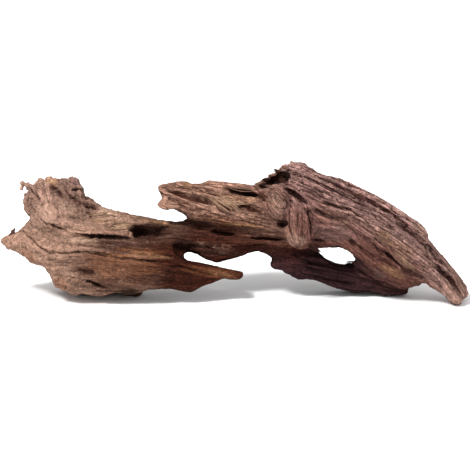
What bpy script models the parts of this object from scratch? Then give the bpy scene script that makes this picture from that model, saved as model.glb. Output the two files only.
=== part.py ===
"""One piece of honeycomb driftwood: a root flare, a stem, a broken prong, a ridged crown and a back limb.

The wood is drawn as it is seen from the front, in millimetres: X runs to the right from the left
tip, Z runs up from the lowest finger tip and Y runs away from the viewer. Each limb is a row of
stations along its own centre line. The limbs are lofted and fused into one body, which is trimmed to
its front outline, hollowed, grooved along the grain and leaned back on the floor it rests on.
"""

import math

import bmesh
import bpy
import numpy as np
from mathutils import Matrix, Vector
from mathutils.bvhtree import BVHTree

# Lengths are in millimetres. FLOOR is how far the lowest tip reaches below the floor before it is cut flat.
MM = 0.001
LENGTH = 404.0
LEAN_DEG = 15.0
FLOOR = 2.8
FLOOR_CUT = 40.0
VIEW_DISTANCE = 2245.6
VIEW_CENTRE = (202.1, 61.1)
PRISM_HALF_DEPTH = 110.0

# The skin: voxel size, rounding passes after each remesh, and about how many triangles are left.
VOXEL = 1.6
SMOOTH_PASSES = {"fused": 2, "fluted": 0, "trimmed": 1}
TRIANGLES = 10400
UNCROSS_ROUNDS = 20

# The lofts: points around a limb and around a splinter, step along it, least half width and cap length.
RING_POINTS = 24
SPLINTER_RING_POINTS = 6
STATION_STEP = 3.0
THINNEST = 0.4
CAP_SHARE = 0.6

# The relief: SWELL raises all of it, and no carving takes more than CARVED_SHARE of the wood under it.
SWELL = 2.0
RIDGE_RISE = 0.5
CARVED_SHARE = 0.25
LIMB_FALLOFF = 3.0
SMALLEST_WEIGHT = 1e-9
FINER_SHARE = 0.6
LATTICE = 32
LUMP_SEED = 30
FLUTE_SEED = 40
GROOVE_SEED = 60

# The fissures: how wide their lip is, how blunt their ends are, and how far the wood must face the viewer.
FISSURE_LIP = 1.4
BLUNTNESS = 0.04
FACING = (0.1, 0.5)

WOOD_COLOUR = (0.22, 0.12, 0.088, 1.0)
WOOD_ROUGHNESS = 0.85

# Broad flutes: cell length along the grain, cell width across it and height, then lumps as (size, height).
FLUTE = (120.0, 21.0, 2.6)
LUMPS = ((34.0, 2.0), (13.0, 1.3))
# Grooves along the grain: cell length, cell width, and the share of each cell that the groove takes.
GROOVES = ((95.0, 8.0, 0.42), (60.0, 4.6, 0.5))
# How deep the grooves are on each limb, in millimetres.
GROOVE_DEPTH = {
    "root_flare": 1.8,
    "burl": 1.6,
    "lower_limb": 1.4,
    "stem": 1.8,
    "upper_prong": 2.6,
    "crown": 3.2,
    "back_limb": 2.2,
    "knot_tongue": 1.6,
}

# Each station is (x, y, z, half width in the plane of the drawing, half depth).
LIMBS = {
    "root_flare": [
        (2, 6, 56.1, 3.4, 4.6),
        (10, 6, 54.2, 7.3, 9),
        (19, 6, 54.2, 12.9, 14),
        (28, 6, 54.6, 20.6, 22),
        (38, 7, 53.8, 24.9, 28),
        (48, 8, 49.9, 33.5, 33),
        (60, 8, 49, 38.3, 37),
        (76, 8, 48.2, 39.1, 39),
        (90, 8, 47.3, 37.4, 37),
        (101, 8, 46.4, 35.3, 34),
        (112, 9, 45.6, 34.4, 28),
        (121, 9, 43, 31, 22),
    ],
    "lower_limb": [
        (86, 2, 32.7, 22.4, 30),
        (103, 1, 34.4, 22.8, 29),
        (120, 0, 35.3, 22.8, 27),
        (138, 0, 34.8, 22.4, 24),
        (148, 0, 34.4, 21.9, 21),
        (157, 0, 28.4, 17.2, 18),
        (165, 0, 25.8, 14.2, 15),
        (174, 0, 27.1, 11.2, 13),
        (182, 0, 27.9, 8.6, 11),
        (191, 0, 28.4, 6, 9),
        (200, 0, 27.5, 5.2, 8),
        (206, 0, 26.7, 4.6, 6.5),
        (209, 0, 26.3, 4, 4.6),
    ],
    "rim": [
        (90, 8, 72.2, 10.3, 22),
        (103, 7, 73.1, 7.7, 20),
        (114, 5, 74, 5.6, 18),
        (129, 5, 73.1, 4.5, 15),
        (138, 6, 71.8, 3.4, 12),
        (146, 6, 71.4, 2.6, 8),
    ],
    "stem": [
        (82, 18, 68.8, 10.3, 16),
        (108, 20, 64.5, 10.3, 15),
        (129, 19, 63.6, 9.9, 15),
        (146, 17, 62.8, 11.6, 16),
        (159, 15, 60.6, 13.3, 17),
        (169, 14, 58.9, 14.6, 17),
        (178, 12, 56.8, 16.3, 17),
        (187, 11, 54.6, 17.6, 18),
        (196, 10, 55, 17.2, 18),
        (206, 9, 57.6, 15.9, 18),
        (217, 9, 60.2, 13.8, 19),
        (227, 9, 60.2, 14.6, 20),
        (239, 10, 58.5, 18.1, 22),
        (251, 12, 56.8, 18.1, 22),
    ],
    "upper_prong": [
        (143, -4, 94.2, 11.2, 11),
        (153, -4, 94.2, 13.3, 14),
        (163, -4, 90.3, 15.5, 16),
        (174, -3, 88.6, 17.6, 18),
        (185, -2, 88.2, 20.2, 20),
        (198, 0, 86, 21.1, 22),
        (211, 1, 83.8, 21.5, 24),
        (224, 2, 81.3, 21.5, 26),
        (239, 3, 79.1, 22.4, 28),
    ],
    "prong_tip_high": [
        (151, -4, 99.8, 7.7, 9),
        (143, -4, 100.9, 6.5, 7.5),
        (136, -4, 101.2, 4.6, 5.5),
    ],
    "prong_tip_low": [
        (151, -6, 87.7, 7.3, 9),
        (143, -6, 87.7, 5.6, 7),
        (136, -6, 88.3, 4, 5),
    ],
    "crown": [
        (234, 4, 85.1, 22.4, 28),
        (245, 5, 86, 32.7, 34),
        (258, 6, 86.9, 36.5, 39),
        (277, 6, 81.7, 32.7, 41),
        (301, 5, 76.1, 28.8, 41),
        (319, 2, 65.4, 28.8, 38),
        (335, -1, 54.2, 28.8, 34),
        (351, -4, 45.6, 25.4, 29),
        (363, -7, 37.8, 18.5, 22),
        (375, -9, 29.2, 13.3, 17),
        (384, -8, 22.4, 9.5, 13),
        (389, -7, 17.2, 6.9, 9),
    ],
    "finger_front": [
        (373, -9, 27.5, 9.5, 11),
        (381, -10, 19.8, 9, 11),
        (387, -10, 12.9, 8.1, 10),
        (393, -9, 6, 6.9, 8.5),
    ],
    "finger_back": [
        (377, 2, 37.8, 7.7, 10),
        (386, 4, 30.1, 7.3, 9.5),
        (395, 5, 20.2, 5.8, 8),
        (400, 5, 11.6, 4.5, 6.5),
    ],
    "under_tongue": [
        (337, 8, 29.2, 8.6, 12),
        (348, 6, 24.1, 9.9, 11),
        (357, 5, 21.5, 7.9, 9),
        (363, 5, 21.5, 4.8, 6),
    ],
    "back_limb": [
        (237, 12, 36.1, 6.9, 9),
        (243, 14, 37, 9.5, 13),
        (253, 15, 37, 13.8, 17),
        (263, 18, 35.3, 14.6, 18),
        (275, 20, 31.8, 13.8, 17),
        (287, 22, 25.8, 12.9, 16),
        (298, 23, 22.4, 13.3, 15),
        (308, 23, 21.5, 13.3, 15),
        (320, 23, 20.6, 12, 14),
        (332, 22, 17.2, 11.2, 13),
        (342, 21, 14.6, 8.2, 10),
        (347, 20, 13.1, 5.5, 7.5),
        (353, 20, 12.7, 4.1, 5.5),
    ],
    "back_limb_root": [
        (311, 14, 37.8, 6.9, 12),
        (323, 17, 31, 9.5, 13),
        (335, 20, 23.2, 9.5, 12),
    ],
    "burl": [
        (55, 6, 70.5, 31, 33),
        (54, 5, 82.6, 26.7, 30),
        (53, 4, 91.2, 21.5, 25),
        (56, 3, 98, 17.6, 21),
        (57, 2, 103.2, 16.3, 17),
        (57, 2, 106.2, 15.9, 14),
        (58, 2, 108.4, 15, 11),
    ],
    "burl_ear": [
        (45, 2, 87.7, 12.9, 13),
        (34, 2, 88.6, 12, 12),
        (27, 2, 89, 10.8, 9),
        (23, 2, 89.9, 9, 7),
    ],
    "burl_nub": [
        (40, 6, 98.9, 6.9, 8),
        (35, 6, 103.2, 4.6, 6),
        (34, 6, 106, 3.8, 5),
    ],
    "ear_lobe": [
        (39, 2, 86, 9.5, 12),
        (30, 2, 85, 8.6, 10),
        (25, 2, 84.3, 7.4, 7.5),
    ],
    "burl_brow": [
        (43, -2, 103.2, 7.7, 9),
        (42, -2, 107.5, 4.3, 6),
        (42, -2, 109.6, 3.1, 4.5),
    ],
    "shoulder": [
        (64, 10, 86.9, 8.6, 16),
        (74, 11, 86.9, 7.3, 13),
        (81, 11, 85.1, 5.6, 10),
        (89, 10, 81.7, 3.9, 8),
    ],
    "foot_nub": [
        (96, 16, 18.9, 6.9, 12),
        (107, 18, 14.6, 6.9, 11),
        (115, 20, 11.6, 6, 10),
        (120, 20, 10.8, 4.7, 8),
    ],
    "heel": [
        (43, 24, 37.8, 15.5, 11),
        (57, 28, 32.7, 19.8, 13),
        (72, 30, 31, 21.5, 14),
        (89, 28, 31, 19.8, 13),
        (107, 22, 32.7, 16.3, 12),
    ],
    "back_ridge": [
        (34, 22, 60.2, 7.7, 14),
        (53, 30, 72.2, 11.2, 12),
        (76, 36, 68.8, 12, 10),
        (101, 34, 60.2, 11.2, 10),
        (126, 28, 56.8, 7.7, 10),
    ],
    "crown_back_ridge": [
        (246, 32, 94.6, 13.8, 12),
        (268, 40, 87.7, 14.6, 11),
        (294, 40, 79.1, 12, 10),
        (316, 34, 63.6, 11.2, 10),
        (337, 24, 48.2, 10.3, 9),
    ],
    "stem_back_spur": [
        (175, 20, 62.8, 8.6, 9),
        (187, 29, 67.9, 6.5, 8),
        (199, 37, 74, 3.8, 5),
        (206, 41, 77.4, 1.5, 2.2),
    ],
    "crown_rim": [
        (225, 18, 100.6, 6, 10),
        (232, 20, 106.6, 6.9, 11),
        (241, 20, 112.7, 7.7, 12),
        (249, 17, 116.1, 7.7, 13),
    ],
    "knot_boss": [
        (238, -17, 100.6, 7.7, 10),
        (240, -23, 91.2, 10.3, 12),
        (242, -21, 80.8, 8.6, 11),
        (243, -17, 74.8, 4.3, 8),
    ],
    "knot_tongue": [
        (255, -23, 88.6, 6, 9),
        (256, -28, 78.3, 8.3, 10),
        (258, -31, 67.1, 10, 10.5),
        (258, -30, 58.5, 9.3, 9.5),
        (258, -27, 54.2, 6.5, 7),
    ],
}

# Hollows cut into the front, as stations of the same kind.
HOLLOWS = {
    "recess": [
        (112.5, -32, 63.1, 2.2, 30),
        (113.9, -32, 63.8, 6.4, 37),
        (124.7, -32, 64.1, 6.9, 35),
        (137.6, -31, 63.8, 6.7, 30),
        (149.6, -30, 62.8, 5.6, 25),
        (160, -28, 61.5, 3.4, 18),
    ],
    "crown_cavity": [
        (223.6, -4, 101.9, 1.7, 15),
        (228.8, -5, 104.2, 3.4, 19),
        (235.6, -8, 107.1, 4.8, 21),
        (242.5, -12, 110.1, 4.8, 20),
        (247.7, -16, 112.2, 3.4, 16),
    ],
    "pocket": [
        (191.8, -30, 99.5, 0.6, 12),
        (197.8, -28, 98.6, 2.1, 15),
        (204.7, -26, 97.8, 3.7, 17),
        (212.4, -24, 96.1, 4, 18),
        (218.4, -23, 94.6, 2.8, 15),
        (223.6, -23, 93.1, 0.7, 10),
    ],
    "pit": [
        (237.8, -30, 68.8, 0.9, 14),
        (240.4, -29, 69.7, 2.2, 15),
        (243.8, -28, 70.6, 3, 15),
        (246.8, -28, 71, 2.6, 13),
    ],
    "under_stem": [
        (150.1, -26, 51.2, 2.6, 18),
        (153.1, -25, 50.3, 5.2, 20),
        (159.1, -24, 48.2, 7.3, 22),
        (166, -22, 49, 6.9, 19),
        (175.4, -20, 46.4, 4.3, 14),
    ],
    "flare_back_scoop": [
        (49.9, 50, 53.3, 4.3, 10),
        (72.2, 54, 49.9, 8.6, 17),
        (103.2, 50, 49.9, 6, 13),
    ],
    "crown_back_scoop": [
        (261.4, 56, 84.3, 3.4, 9),
        (289, 58, 75.7, 6.9, 15),
        (316.5, 50, 61.9, 5.2, 12),
    ],
}

# Thin broken fibres and thorns that stand out of the outline, as stations of the same kind.
SPLINTERS = {
    "thorn": [
        (8.6, 6, 55.9, 2.9, 2.8),
        (8.9, 6, 61.1, 2.3, 2.1),
        (10.7, 6, 64.5, 1.8, 1.7),
        (13.3, 6, 67.8, 0.9, 0.9),
    ],
    "thorn_low": [
        (7.7, 6, 58.5, 1.4, 1.4),
        (10.3, 6, 61.2, 0.9, 0.9),
        (13.3, 6, 61.7, 0.6, 0.6),
    ],
    "ear_spike": [
        (37, 2, 93.7, 4.3, 5.2),
        (28.4, 2, 100.2, 3.6, 3.9),
        (22.4, 2, 104.1, 2.3, 2.6),
        (17.6, 2, 106, 1.2, 1.4),
    ],
    "ear_hook": [
        (22.4, 2, 104.5, 1.6, 1.6),
        (19.2, 2, 103.6, 1.2, 1.2),
        (18.1, 2, 100.4, 0.8, 0.8),
    ],
    "rim_spike_a": [
        (233.1, 16, 103.2, 3.4, 5.2),
        (224.5, 16, 104.7, 2.1, 2.9),
        (219.3, 16, 104.9, 0.9, 1.4),
    ],
    "rim_spike_b": [
        (239.1, 17, 107.5, 3.4, 5.2),
        (231.3, 17, 108.4, 2.1, 2.9),
        (224.5, 17, 107.8, 0.9, 1.2),
    ],
    "rim_spike_c": [
        (247.7, 17, 113.5, 3.4, 5.2),
        (238.2, 17, 113.1, 2.1, 2.9),
        (231.3, 17, 111.8, 0.9, 1.2),
    ],
    "rim_spike_d": [
        (257.1, 13, 117.8, 3.4, 5.2),
        (248.5, 13, 119.5, 2.2, 3.4),
        (242.5, 13, 120.1, 0.9, 1.3),
    ],
    "rim_spike_e": [
        (261.4, 10, 118.7, 3, 4.3),
        (255.4, 10, 121.6, 1.7, 2.6),
        (250.3, 10, 123, 0.9, 1.2),
    ],
    "window_spike": [
        (313, 6, 35.3, 2.9, 3.4),
        (305.3, 6, 37.6, 1.2, 1.7),
        (298.9, 6, 37.7, 0.7, 0.8),
    ],
    "finger_splinter": [
        (393, 2, 20.6, 2.2, 2.6),
        (399, 2, 17.6, 1, 1.2),
        (403.6, 2, 13.3, 0.5, 0.5),
    ],
    "finger_splinter_upper": [
        (393, 3, 23.2, 2.1, 2.2),
        (398.2, 3, 19.8, 0.8, 0.9),
        (401.6, 3, 16.5, 0.5, 0.5),
    ],
}

# Fissures of the front as ([(x, z), ...], width, depth).
FISSURES = {
    "crown_main": (
        [(258, 120.4), (280, 108.4), (305, 96.3), (327, 86), (344, 74.8), (353, 67.1), (366, 56.8)],
        3.6,
        5,
    ),
    "crown_second": ([(245, 116.1), (258, 111.8), (284, 99.8), (310, 88.6), (331, 79.1)], 2.4, 2.8),
    "crown_inner": ([(243, 101.5), (251, 97.2), (265, 88.6)], 2.9, 4),
    "crown_low": (
        [(265, 95.5), (288, 85.1), (301, 82.6), (311, 76.5), (320, 68.8), (325, 60.2)],
        2.9,
        3.5,
    ),
    "crown_patch": ([(267, 82.6), (277, 79.1), (294, 72.2)], 5.2, 3.5),
    "crown_lower_right": ([(340, 78.3), (361, 56.8), (378, 43.9)], 2.6, 3),
    "crown_hem": ([(323, 48.2), (335, 41.3), (351, 29.2)], 3.9, 3.5),
    "finger_split": ([(373, 35.3), (382, 27.7), (387, 21.9), (393, 14.2), (398, 6.5)], 2.8, 6),
    "crown_notch": ([(267, 56.8), (279, 55)], 3.4, 3.5),
    "prong_groove": ([(143, 100.6), (163, 95.5), (183, 88.6)], 4.3, 4),
    "prong_low": ([(148, 91.2), (170, 83.4), (184, 80)], 2.4, 2),
    "prong_right": ([(201, 87.7), (215, 83.4), (227, 80.8)], 4.3, 3),
    "prong_hem": ([(163, 72.2), (185, 67.9), (215, 64.5)], 3.0, 3),
    "fibre_patch": ([(186, 89.4), (192, 83.4), (199, 76.5)], 4.3, 2),
    "stem_lens": ([(179, 64.5), (191, 63.2), (206, 60.6)], 3.9, 3.6),
    "stem_crack": ([(215, 58.5), (230, 57.6), (245, 56.8)], 2.6, 3.6),
    "flare_crack": (
        [(17, 67.1), (34, 50.7), (52, 45.6), (77, 46.4), (103, 42.1), (129, 38.7), (150, 37.8)],
        2.6,
        3,
    ),
    "flare_slit": ([(62, 62.4), (76, 60.9), (93, 60.2), (113, 58.3)], 3.1, 6),
    "flare_low_slit": ([(72, 22.4), (84, 18.9), (97, 14.6)], 3.6, 4.5),
    "flare_dent": ([(60, 30.1), (82, 27.5)], 6.9, 2.5),
    "flare_eye": ([(34, 76.5), (43, 68.8), (56, 67.1)], 3.9, 3),
    "shoulder_crease": ([(57, 96.3), (65, 89.4), (84, 83.4)], 4.7, 4),
    "shoulder_end": ([(72, 81.7), (78, 78.3)], 4.3, 3),
    "flare_brow": ([(50, 76.5), (67, 75.7)], 3.0, 2.2),
    "burl_pits": ([(43, 101.5), (52, 95.5)], 4.3, 3.5),
    "ear_crease": ([(25, 103.2), (35, 92), (38, 83.4)], 2.9, 3),
    "burl_slit": ([(63, 99.8), (72, 99.8)], 2.6, 4.5),
    "flare_right": ([(89, 68.8), (112, 72.2)], 3.4, 2.2),
    "knot_left": ([(250, 87.7), (249, 68.8), (252, 54.2)], 2.9, 3.2),
    "knot_right": ([(264, 84.3), (268, 70.5), (267, 56.8)], 2.9, 3.2),
    "boss_left": ([(229, 92.9), (232, 84.3), (236, 77.4)], 2.8, 2.5),
    "back_limb_upper": ([(245, 39.6), (275, 37.8), (301, 31), (331, 25.8)], 3.9, 3),
    "back_limb_lower": ([(258, 28.4), (288, 21.5), (320, 16.3)], 3.0, 2.2),
    "lower_limb_fold": ([(120, 37.8), (159, 32.7), (185, 27.5)], 2.6, 1.8),
}

# Fissures of the back, which the front view hides, in the same form.
BACK_FISSURES = {
    "crown_back_long": ([(252, 100), (290, 88), (325, 68), (352, 44)], 4.5, 4.5),
    "crown_back_upper": ([(262, 112), (300, 98), (335, 80)], 3.6, 3.2),
    "crown_back_lower": ([(270, 70), (300, 62), (330, 44)], 4.0, 3.5),
    "stem_back": ([(160, 66), (195, 68), (240, 64)], 4.0, 4.0),
    "prong_back": ([(145, 97), (180, 92), (225, 88)], 4.0, 3.2),
    "flare_back_long": ([(14, 58), (50, 54), (95, 58), (130, 62)], 4.2, 4.0),
    "flare_back_low": ([(45, 36), (75, 30), (108, 34), (140, 30)], 4.0, 3.5),
    "flare_back_upper": ([(40, 78), (65, 74), (95, 76)], 3.6, 3.0),
    "burl_back": ([(36, 96), (52, 92), (68, 98)], 3.6, 3.0),
    "back_limb_back": ([(245, 36), (285, 30), (330, 20)], 3.6, 2.6),
}

# The outline of the front view, clockwise from the left tip, as (x, z) stretches.
OUTLINE = {
    "left tip and thorn root": [
        (0, 56.3), (1.7, 58.5), (5.2, 59.8), (8.6, 61.5), (13.8, 62.4), (17.2, 65.4), (24.1, 72.2),
        (28.4, 76.5),
    ],
    "burl ear": [
        (26.7, 77.2), (23.2, 78.3), (20.9, 81.7), (21.5, 84.3), (20.2, 87.7), (21.9, 94.6),
        (21.5, 99.8), (19.8, 103.2), (16.8, 105.1), (17.2, 106.8), (24.1, 104.1), (30.1, 102.9),
    ],
    "burl top": [
        (31.4, 105.8), (32.2, 108.2), (35.3, 108.2), (37.4, 106.6), (37.8, 104.1), (39.6, 107.9),
        (40.9, 111.1), (42.6, 110.5), (49.9, 109.2), (58.5, 109.4), (65.4, 111.5), (69.2, 110.9),
        (71.4, 107.9), (72.5, 101), (71.2, 98.9), (72.2, 94.2),
    ],
    "shoulder and ledge": [
        (76.5, 93.3), (82.6, 89), (86, 86), (90.3, 83.8), (99.8, 82.6), (110.1, 78.7), (123, 76.5),
        (135.9, 74), (147.9, 72.7), (157.4, 73.1), (160.4, 76.3),
    ],
    "prong underside": [
        (158.2, 78.7), (150.5, 81.9), (144.5, 82.6), (139.3, 84.7), (135, 88.6), (137.6, 90.6),
        (141.5, 92.9),
    ],
    "prong top": [
        (137.2, 98.2), (134.7, 101), (136.7, 104.2), (142.8, 105.1), (155.7, 107.2),
        (160.8, 106.2), (165.1, 103.9), (172.9, 105.1), (180.6, 107.5), (190.9, 106.6), (203, 106),
        (214.1, 104.5), (220.2, 102.3),
    ],
    "crown rim": [
        (218.9, 104.5), (221.9, 107.1), (227.9, 108.2), (232.2, 110.5), (230.9, 112),
        (234.8, 112.7), (238.2, 116.1), (241.8, 117.8), (242.1, 120.4), (247.7, 121.3),
        (250.7, 123.4),
    ],
    "crown back": [
        (256.3, 122.3), (265.7, 118.2), (278.6, 111.8), (292.4, 109.2), (301, 105.8),
        (318.2, 97.2), (331.1, 90.3), (344, 81.7), (356, 74.4), (364.6, 67.1), (369.8, 56.8),
        (375.8, 49.4),
    ],
    "fingers": [
        (387, 35.3), (394.7, 25.8), (399, 18.1), (402.9, 11.6), (401.6, 7.3), (398.2, 6),
        (398.4, 3), (395.6, 0), (392.2, -0.4), (388.3, 1.7), (383.6, 7.7), (375.8, 13.8),
        (370.7, 15.5), (366.4, 20.6),
    ],
    "tongue": [
        (360.3, 17.6), (352.6, 15.5), (347, 15.5),
    ],
    "back limb": [
        (351.1, 12.2), (349.2, 10.5), (340.6, 9.5), (332, 9), (323.4, 11.6), (318.2, 12.9),
        (313, 12.9), (306.2, 11.2), (290.7, 15), (271.8, 21.5), (258, 22.8), (249.4, 25.8),
        (242.5, 31), (234.8, 32.7), (233.1, 35.3), (233.5, 37.8), (235.6, 39.6),
    ],
    "arch": [
        (231.3, 44.3), (221.9, 48.2), (215, 47.1), (208.1, 43.4), (196.9, 40), (186.6, 37.8),
        (178, 40.4), (168.6, 45.1), (164.3, 46.4), (160.4, 46.4), (157.4, 44.3), (157.4, 41.7),
        (161.7, 39.1), (171.1, 37.8), (188.3, 33.5), (204.7, 29.7),
    ],
    "lower limb": [
        (209, 28.8), (208.4, 25.4), (205.5, 23.2), (200.4, 22.8), (191.8, 24.1), (184, 20.6),
        (174.6, 18.1), (167.7, 13.3), (163.4, 12.2), (150.5, 13.5), (135.9, 14.4), (123, 13.3),
    ],
    "foot": [
        (122.4, 9.5), (120.4, 7.7), (117, 7.3), (111.8, 8.6), (104.1, 12.5), (98.9, 12),
        (89.4, 9.2), (83.4, 9), (71.4, 10.9), (62.8, 10.3), (57.6, 13.3), (48.2, 16.3),
    ],
    "flare edge": [
        (44.7, 21.1), (43.9, 24.9), (40, 31.8), (37, 34.4), (26.7, 36.5), (21.5, 42.1),
        (12.9, 47.7), (6, 49), (2.6, 52.9),
    ],
}

# The opening between the crown and the back limb.
WINDOW = [
    (266.9, 50.8), (276.1, 49.7), (284.7, 49.9), (289.8, 51.1), (295, 50.1), (301.9, 46.4),
    (307, 38.4), (301, 38.5), (298.4, 37.7), (300.1, 36.5), (295, 35.7), (286.4, 37.4),
    (278.6, 41.7), (275.6, 46), (270.9, 47.7),
]


def new_collection(name):
    collection = bpy.data.collections.new(name)
    bpy.context.scene.collection.children.link(collection)
    return collection


def smooth_stations(stations):
    """The stations with points added between them on Catmull-Rom curves, in metres."""
    given = np.array(stations, float)
    ends = np.vstack([2 * given[0] - given[1], given, 2 * given[-1] - given[-2]])
    rows = []
    for i in range(len(given) - 1):
        before, start, stop, after = ends[i : i + 4]
        length = float(np.linalg.norm((stop - start)[:3]))
        count = max(2, round(length / STATION_STEP))
        t = np.arange(count)[:, None] / count
        rows.append(
            start
            + 0.5 * (stop - before) * t
            + (before - 2.5 * start + 2 * stop - 0.5 * after) * t**2
            + (1.5 * start - 0.5 * before - 1.5 * stop + 0.5 * after) * t**3
        )
    rows.append(given[-1:])
    return np.vstack(rows) * MM


def object_from_faces(name, points, faces, collection):
    mesh = bpy.data.meshes.new(name)
    mesh.from_pydata(points.tolist(), [], faces)
    work = bmesh.new()
    work.from_mesh(mesh)
    bmesh.ops.recalc_face_normals(work, faces=work.faces)
    work.to_mesh(mesh)
    work.free()
    obj = bpy.data.objects.new(name, mesh)
    collection.objects.link(obj)
    return obj


def loft(name, stations, collection, sides=RING_POINTS):
    """A closed limb: an ellipse across the centre line at each station and a blunt cap at each end."""
    rows = smooth_stations(stations)
    centre = rows[:, :3]
    widths = np.maximum(rows[:, 3:5], THINNEST * MM)
    run = np.gradient(centre[:, [0, 2]], axis=0)
    run /= np.linalg.norm(run, axis=1)[:, None]
    flat = np.zeros(len(run))
    across = np.column_stack([-run[:, 1], flat, run[:, 0]])
    ahead = np.column_stack([run[:, 0], flat, run[:, 1]])
    depth = np.array([0.0, 1.0, 0.0])
    angles = np.linspace(0, 2 * math.pi, sides, endpoint=False)
    rings = (
        centre[:, None]
        + across[:, None] * (widths[:, 0, None] * np.cos(angles))[..., None]
        + depth * (widths[:, 1, None] * np.sin(angles))[..., None]
    )
    tips = [
        centre[0] - ahead[0] * widths[0].min() * CAP_SHARE,
        centre[-1] + ahead[-1] * widths[-1].min() * CAP_SHARE,
    ]
    last = (len(rings) - 1) * sides
    first_tip = len(rings) * sides
    faces = []
    for j in range(sides):
        k = (j + 1) % sides
        for row in range(0, last, sides):
            faces.append((row + j, row + k, row + sides + k, row + sides + j))
        faces.append((k, j, first_tip))
        faces.append((last + j, last + k, first_tip + 1))
    return object_from_faces(name, np.vstack([rings.reshape(-1, 3), tips]), faces, collection)


def apply_modifiers(obj):
    graph = bpy.context.evaluated_depsgraph_get()
    mesh = bpy.data.meshes.new_from_object(obj.evaluated_get(graph))
    obj.modifiers.clear()
    obj.data = mesh


def remesh(obj, passes):
    """Makes the mesh one skin of small even quads and rounds its edges."""
    fuse = obj.modifiers.new("fuse", "REMESH")
    fuse.mode = "VOXEL"
    fuse.voxel_size = VOXEL * MM
    soften = obj.modifiers.new("soften", "SMOOTH")
    soften.factor = 0.5
    soften.iterations = passes
    apply_modifiers(obj)


def keep_largest_body(obj):
    """Removes loose scraps and sealed hollows: every shell but the one with the most faces."""
    work = bmesh.new()
    work.from_mesh(obj.data)
    unseen = set(work.verts)
    shells = []
    while unseen:
        shell = {unseen.pop()}
        front = list(shell)
        while front:
            vert = front.pop()
            for edge in vert.link_edges:
                other = edge.other_vert(vert)
                if other in unseen:
                    unseen.discard(other)
                    shell.add(other)
                    front.append(other)
        shells.append(shell)
    shells.sort(key=len)
    for shell in shells[:-1]:
        bmesh.ops.delete(work, geom=list(shell), context="VERTS")
    work.to_mesh(obj.data)
    work.free()


def combine(obj, operation, cutters, solver="EXACT"):
    """Applies one Boolean of the object with all cutters, which are then removed."""
    boolean = obj.modifiers.new(operation.lower(), "BOOLEAN")
    boolean.operation = operation
    boolean.solver = solver
    if len(cutters) == 1:
        boolean.object = cutters[0]
    else:
        group = new_collection("cutters")
        for cutter in cutters:
            group.objects.link(cutter)
        boolean.operand_type = "COLLECTION"
        boolean.collection = group
    apply_modifiers(obj)
    for cutter in cutters:
        bpy.data.objects.remove(cutter)


def read_points(obj):
    count = len(obj.data.vertices)
    points = np.empty(count * 3)
    normals = np.empty(count * 3)
    obj.data.vertices.foreach_get("co", points)
    obj.data.vertices.foreach_get("normal", normals)
    return points.reshape(-1, 3), normals.reshape(-1, 3)


def write_points(obj, points):
    obj.data.vertices.foreach_set("co", points.ravel())
    obj.data.update()


def lattice_noise(points, seed):
    """Smooth random values from 0 to 1: random numbers at unit lattice corners, blended between."""
    table = np.random.default_rng(seed).random((LATTICE, LATTICE, LATTICE))
    cell = np.floor(points).astype(int)
    part = points - cell
    part = part * part * (3 - 2 * part)
    total = np.zeros(len(points))
    for corner in np.ndindex(2, 2, 2):
        weight = np.prod(np.where(corner, part, 1 - part), axis=1)
        i, j, k = ((cell + corner) % LATTICE).T
        total += weight * table[i, j, k]
    return total


def limb_coordinates(points, name):
    """Distances along, across and behind a limb's centre line, and how near it is in limb widths."""
    rows = smooth_stations(LIMBS[name])
    start = rows[:-1]
    step = rows[1:, [0, 2]] - start[:, [0, 2]]
    length = np.linalg.norm(step, axis=1)
    ahead = step / length[:, None]
    before = np.concatenate([[0], np.cumsum(length)[:-1]])
    offset = points[:, None, [0, 2]] - start[None, :, [0, 2]]
    along = np.clip((offset * ahead).sum(2), 0, length)
    gap = offset - ahead * along[..., None]
    nearest = np.argmin((gap**2).sum(2), axis=1)
    pick = np.arange(len(points))
    across = (ahead[nearest, 0] * gap[pick, nearest, 1]) - (ahead[nearest, 1] * gap[pick, nearest, 0])
    behind = points[:, 1] - start[nearest, 1]
    distance = np.linalg.norm(gap[pick, nearest], axis=1)
    nearness = np.hypot(distance / start[nearest, 3], behind / start[nearest, 4])
    return before[nearest] + along[pick, nearest], across, behind, nearness


def blend_along_grain(points, height):
    """Height worked out in each limb's own coordinates, blended by how near each limb is."""
    total = np.zeros(len(points))
    weights = np.full(len(points), SMALLEST_WEIGHT)
    for seed, name in enumerate(GROOVE_DEPTH):
        along, across, behind, nearness = limb_coordinates(points, name)
        weight = np.exp(-LIMB_FALLOFF * nearness**2)
        total += weight * height(name, seed, np.column_stack([along, across, behind]) / MM)
        weights += weight
    return total / weights


def flute_height(name, seed, grain):
    length, width, height = FLUTE
    return height * (2 * lattice_noise(grain / (length, width, width), FLUTE_SEED + seed) - 1)


def groove_height(name, seed, grain):
    """Narrow valleys where stretched noise passes its middle value, so they wander, fork and join."""
    depth = np.zeros(len(grain))
    for octave, (length, width, share) in enumerate(GROOVES):
        noise = lattice_noise(grain / (length, width, width), GROOVE_SEED + len(GROOVE_DEPTH) * octave + seed)
        depth += np.clip(1 - np.abs(2 * noise - 1) / share, 0, 1) * FINER_SHARE**octave
    return -GROOVE_DEPTH[name] * depth / (1 + FINER_SHARE)


def flute(obj):
    """Raises broad flutes along the grain and rounded lumps."""
    points, normals = read_points(obj)
    rise = blend_along_grain(points, flute_height) + SWELL
    for seed, (size, height) in enumerate(LUMPS):
        rise += height * (2 * lattice_noise(points / (size * MM), LUMP_SEED + seed) - 1)
    write_points(obj, points + normals * (rise * MM)[:, None])


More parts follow.
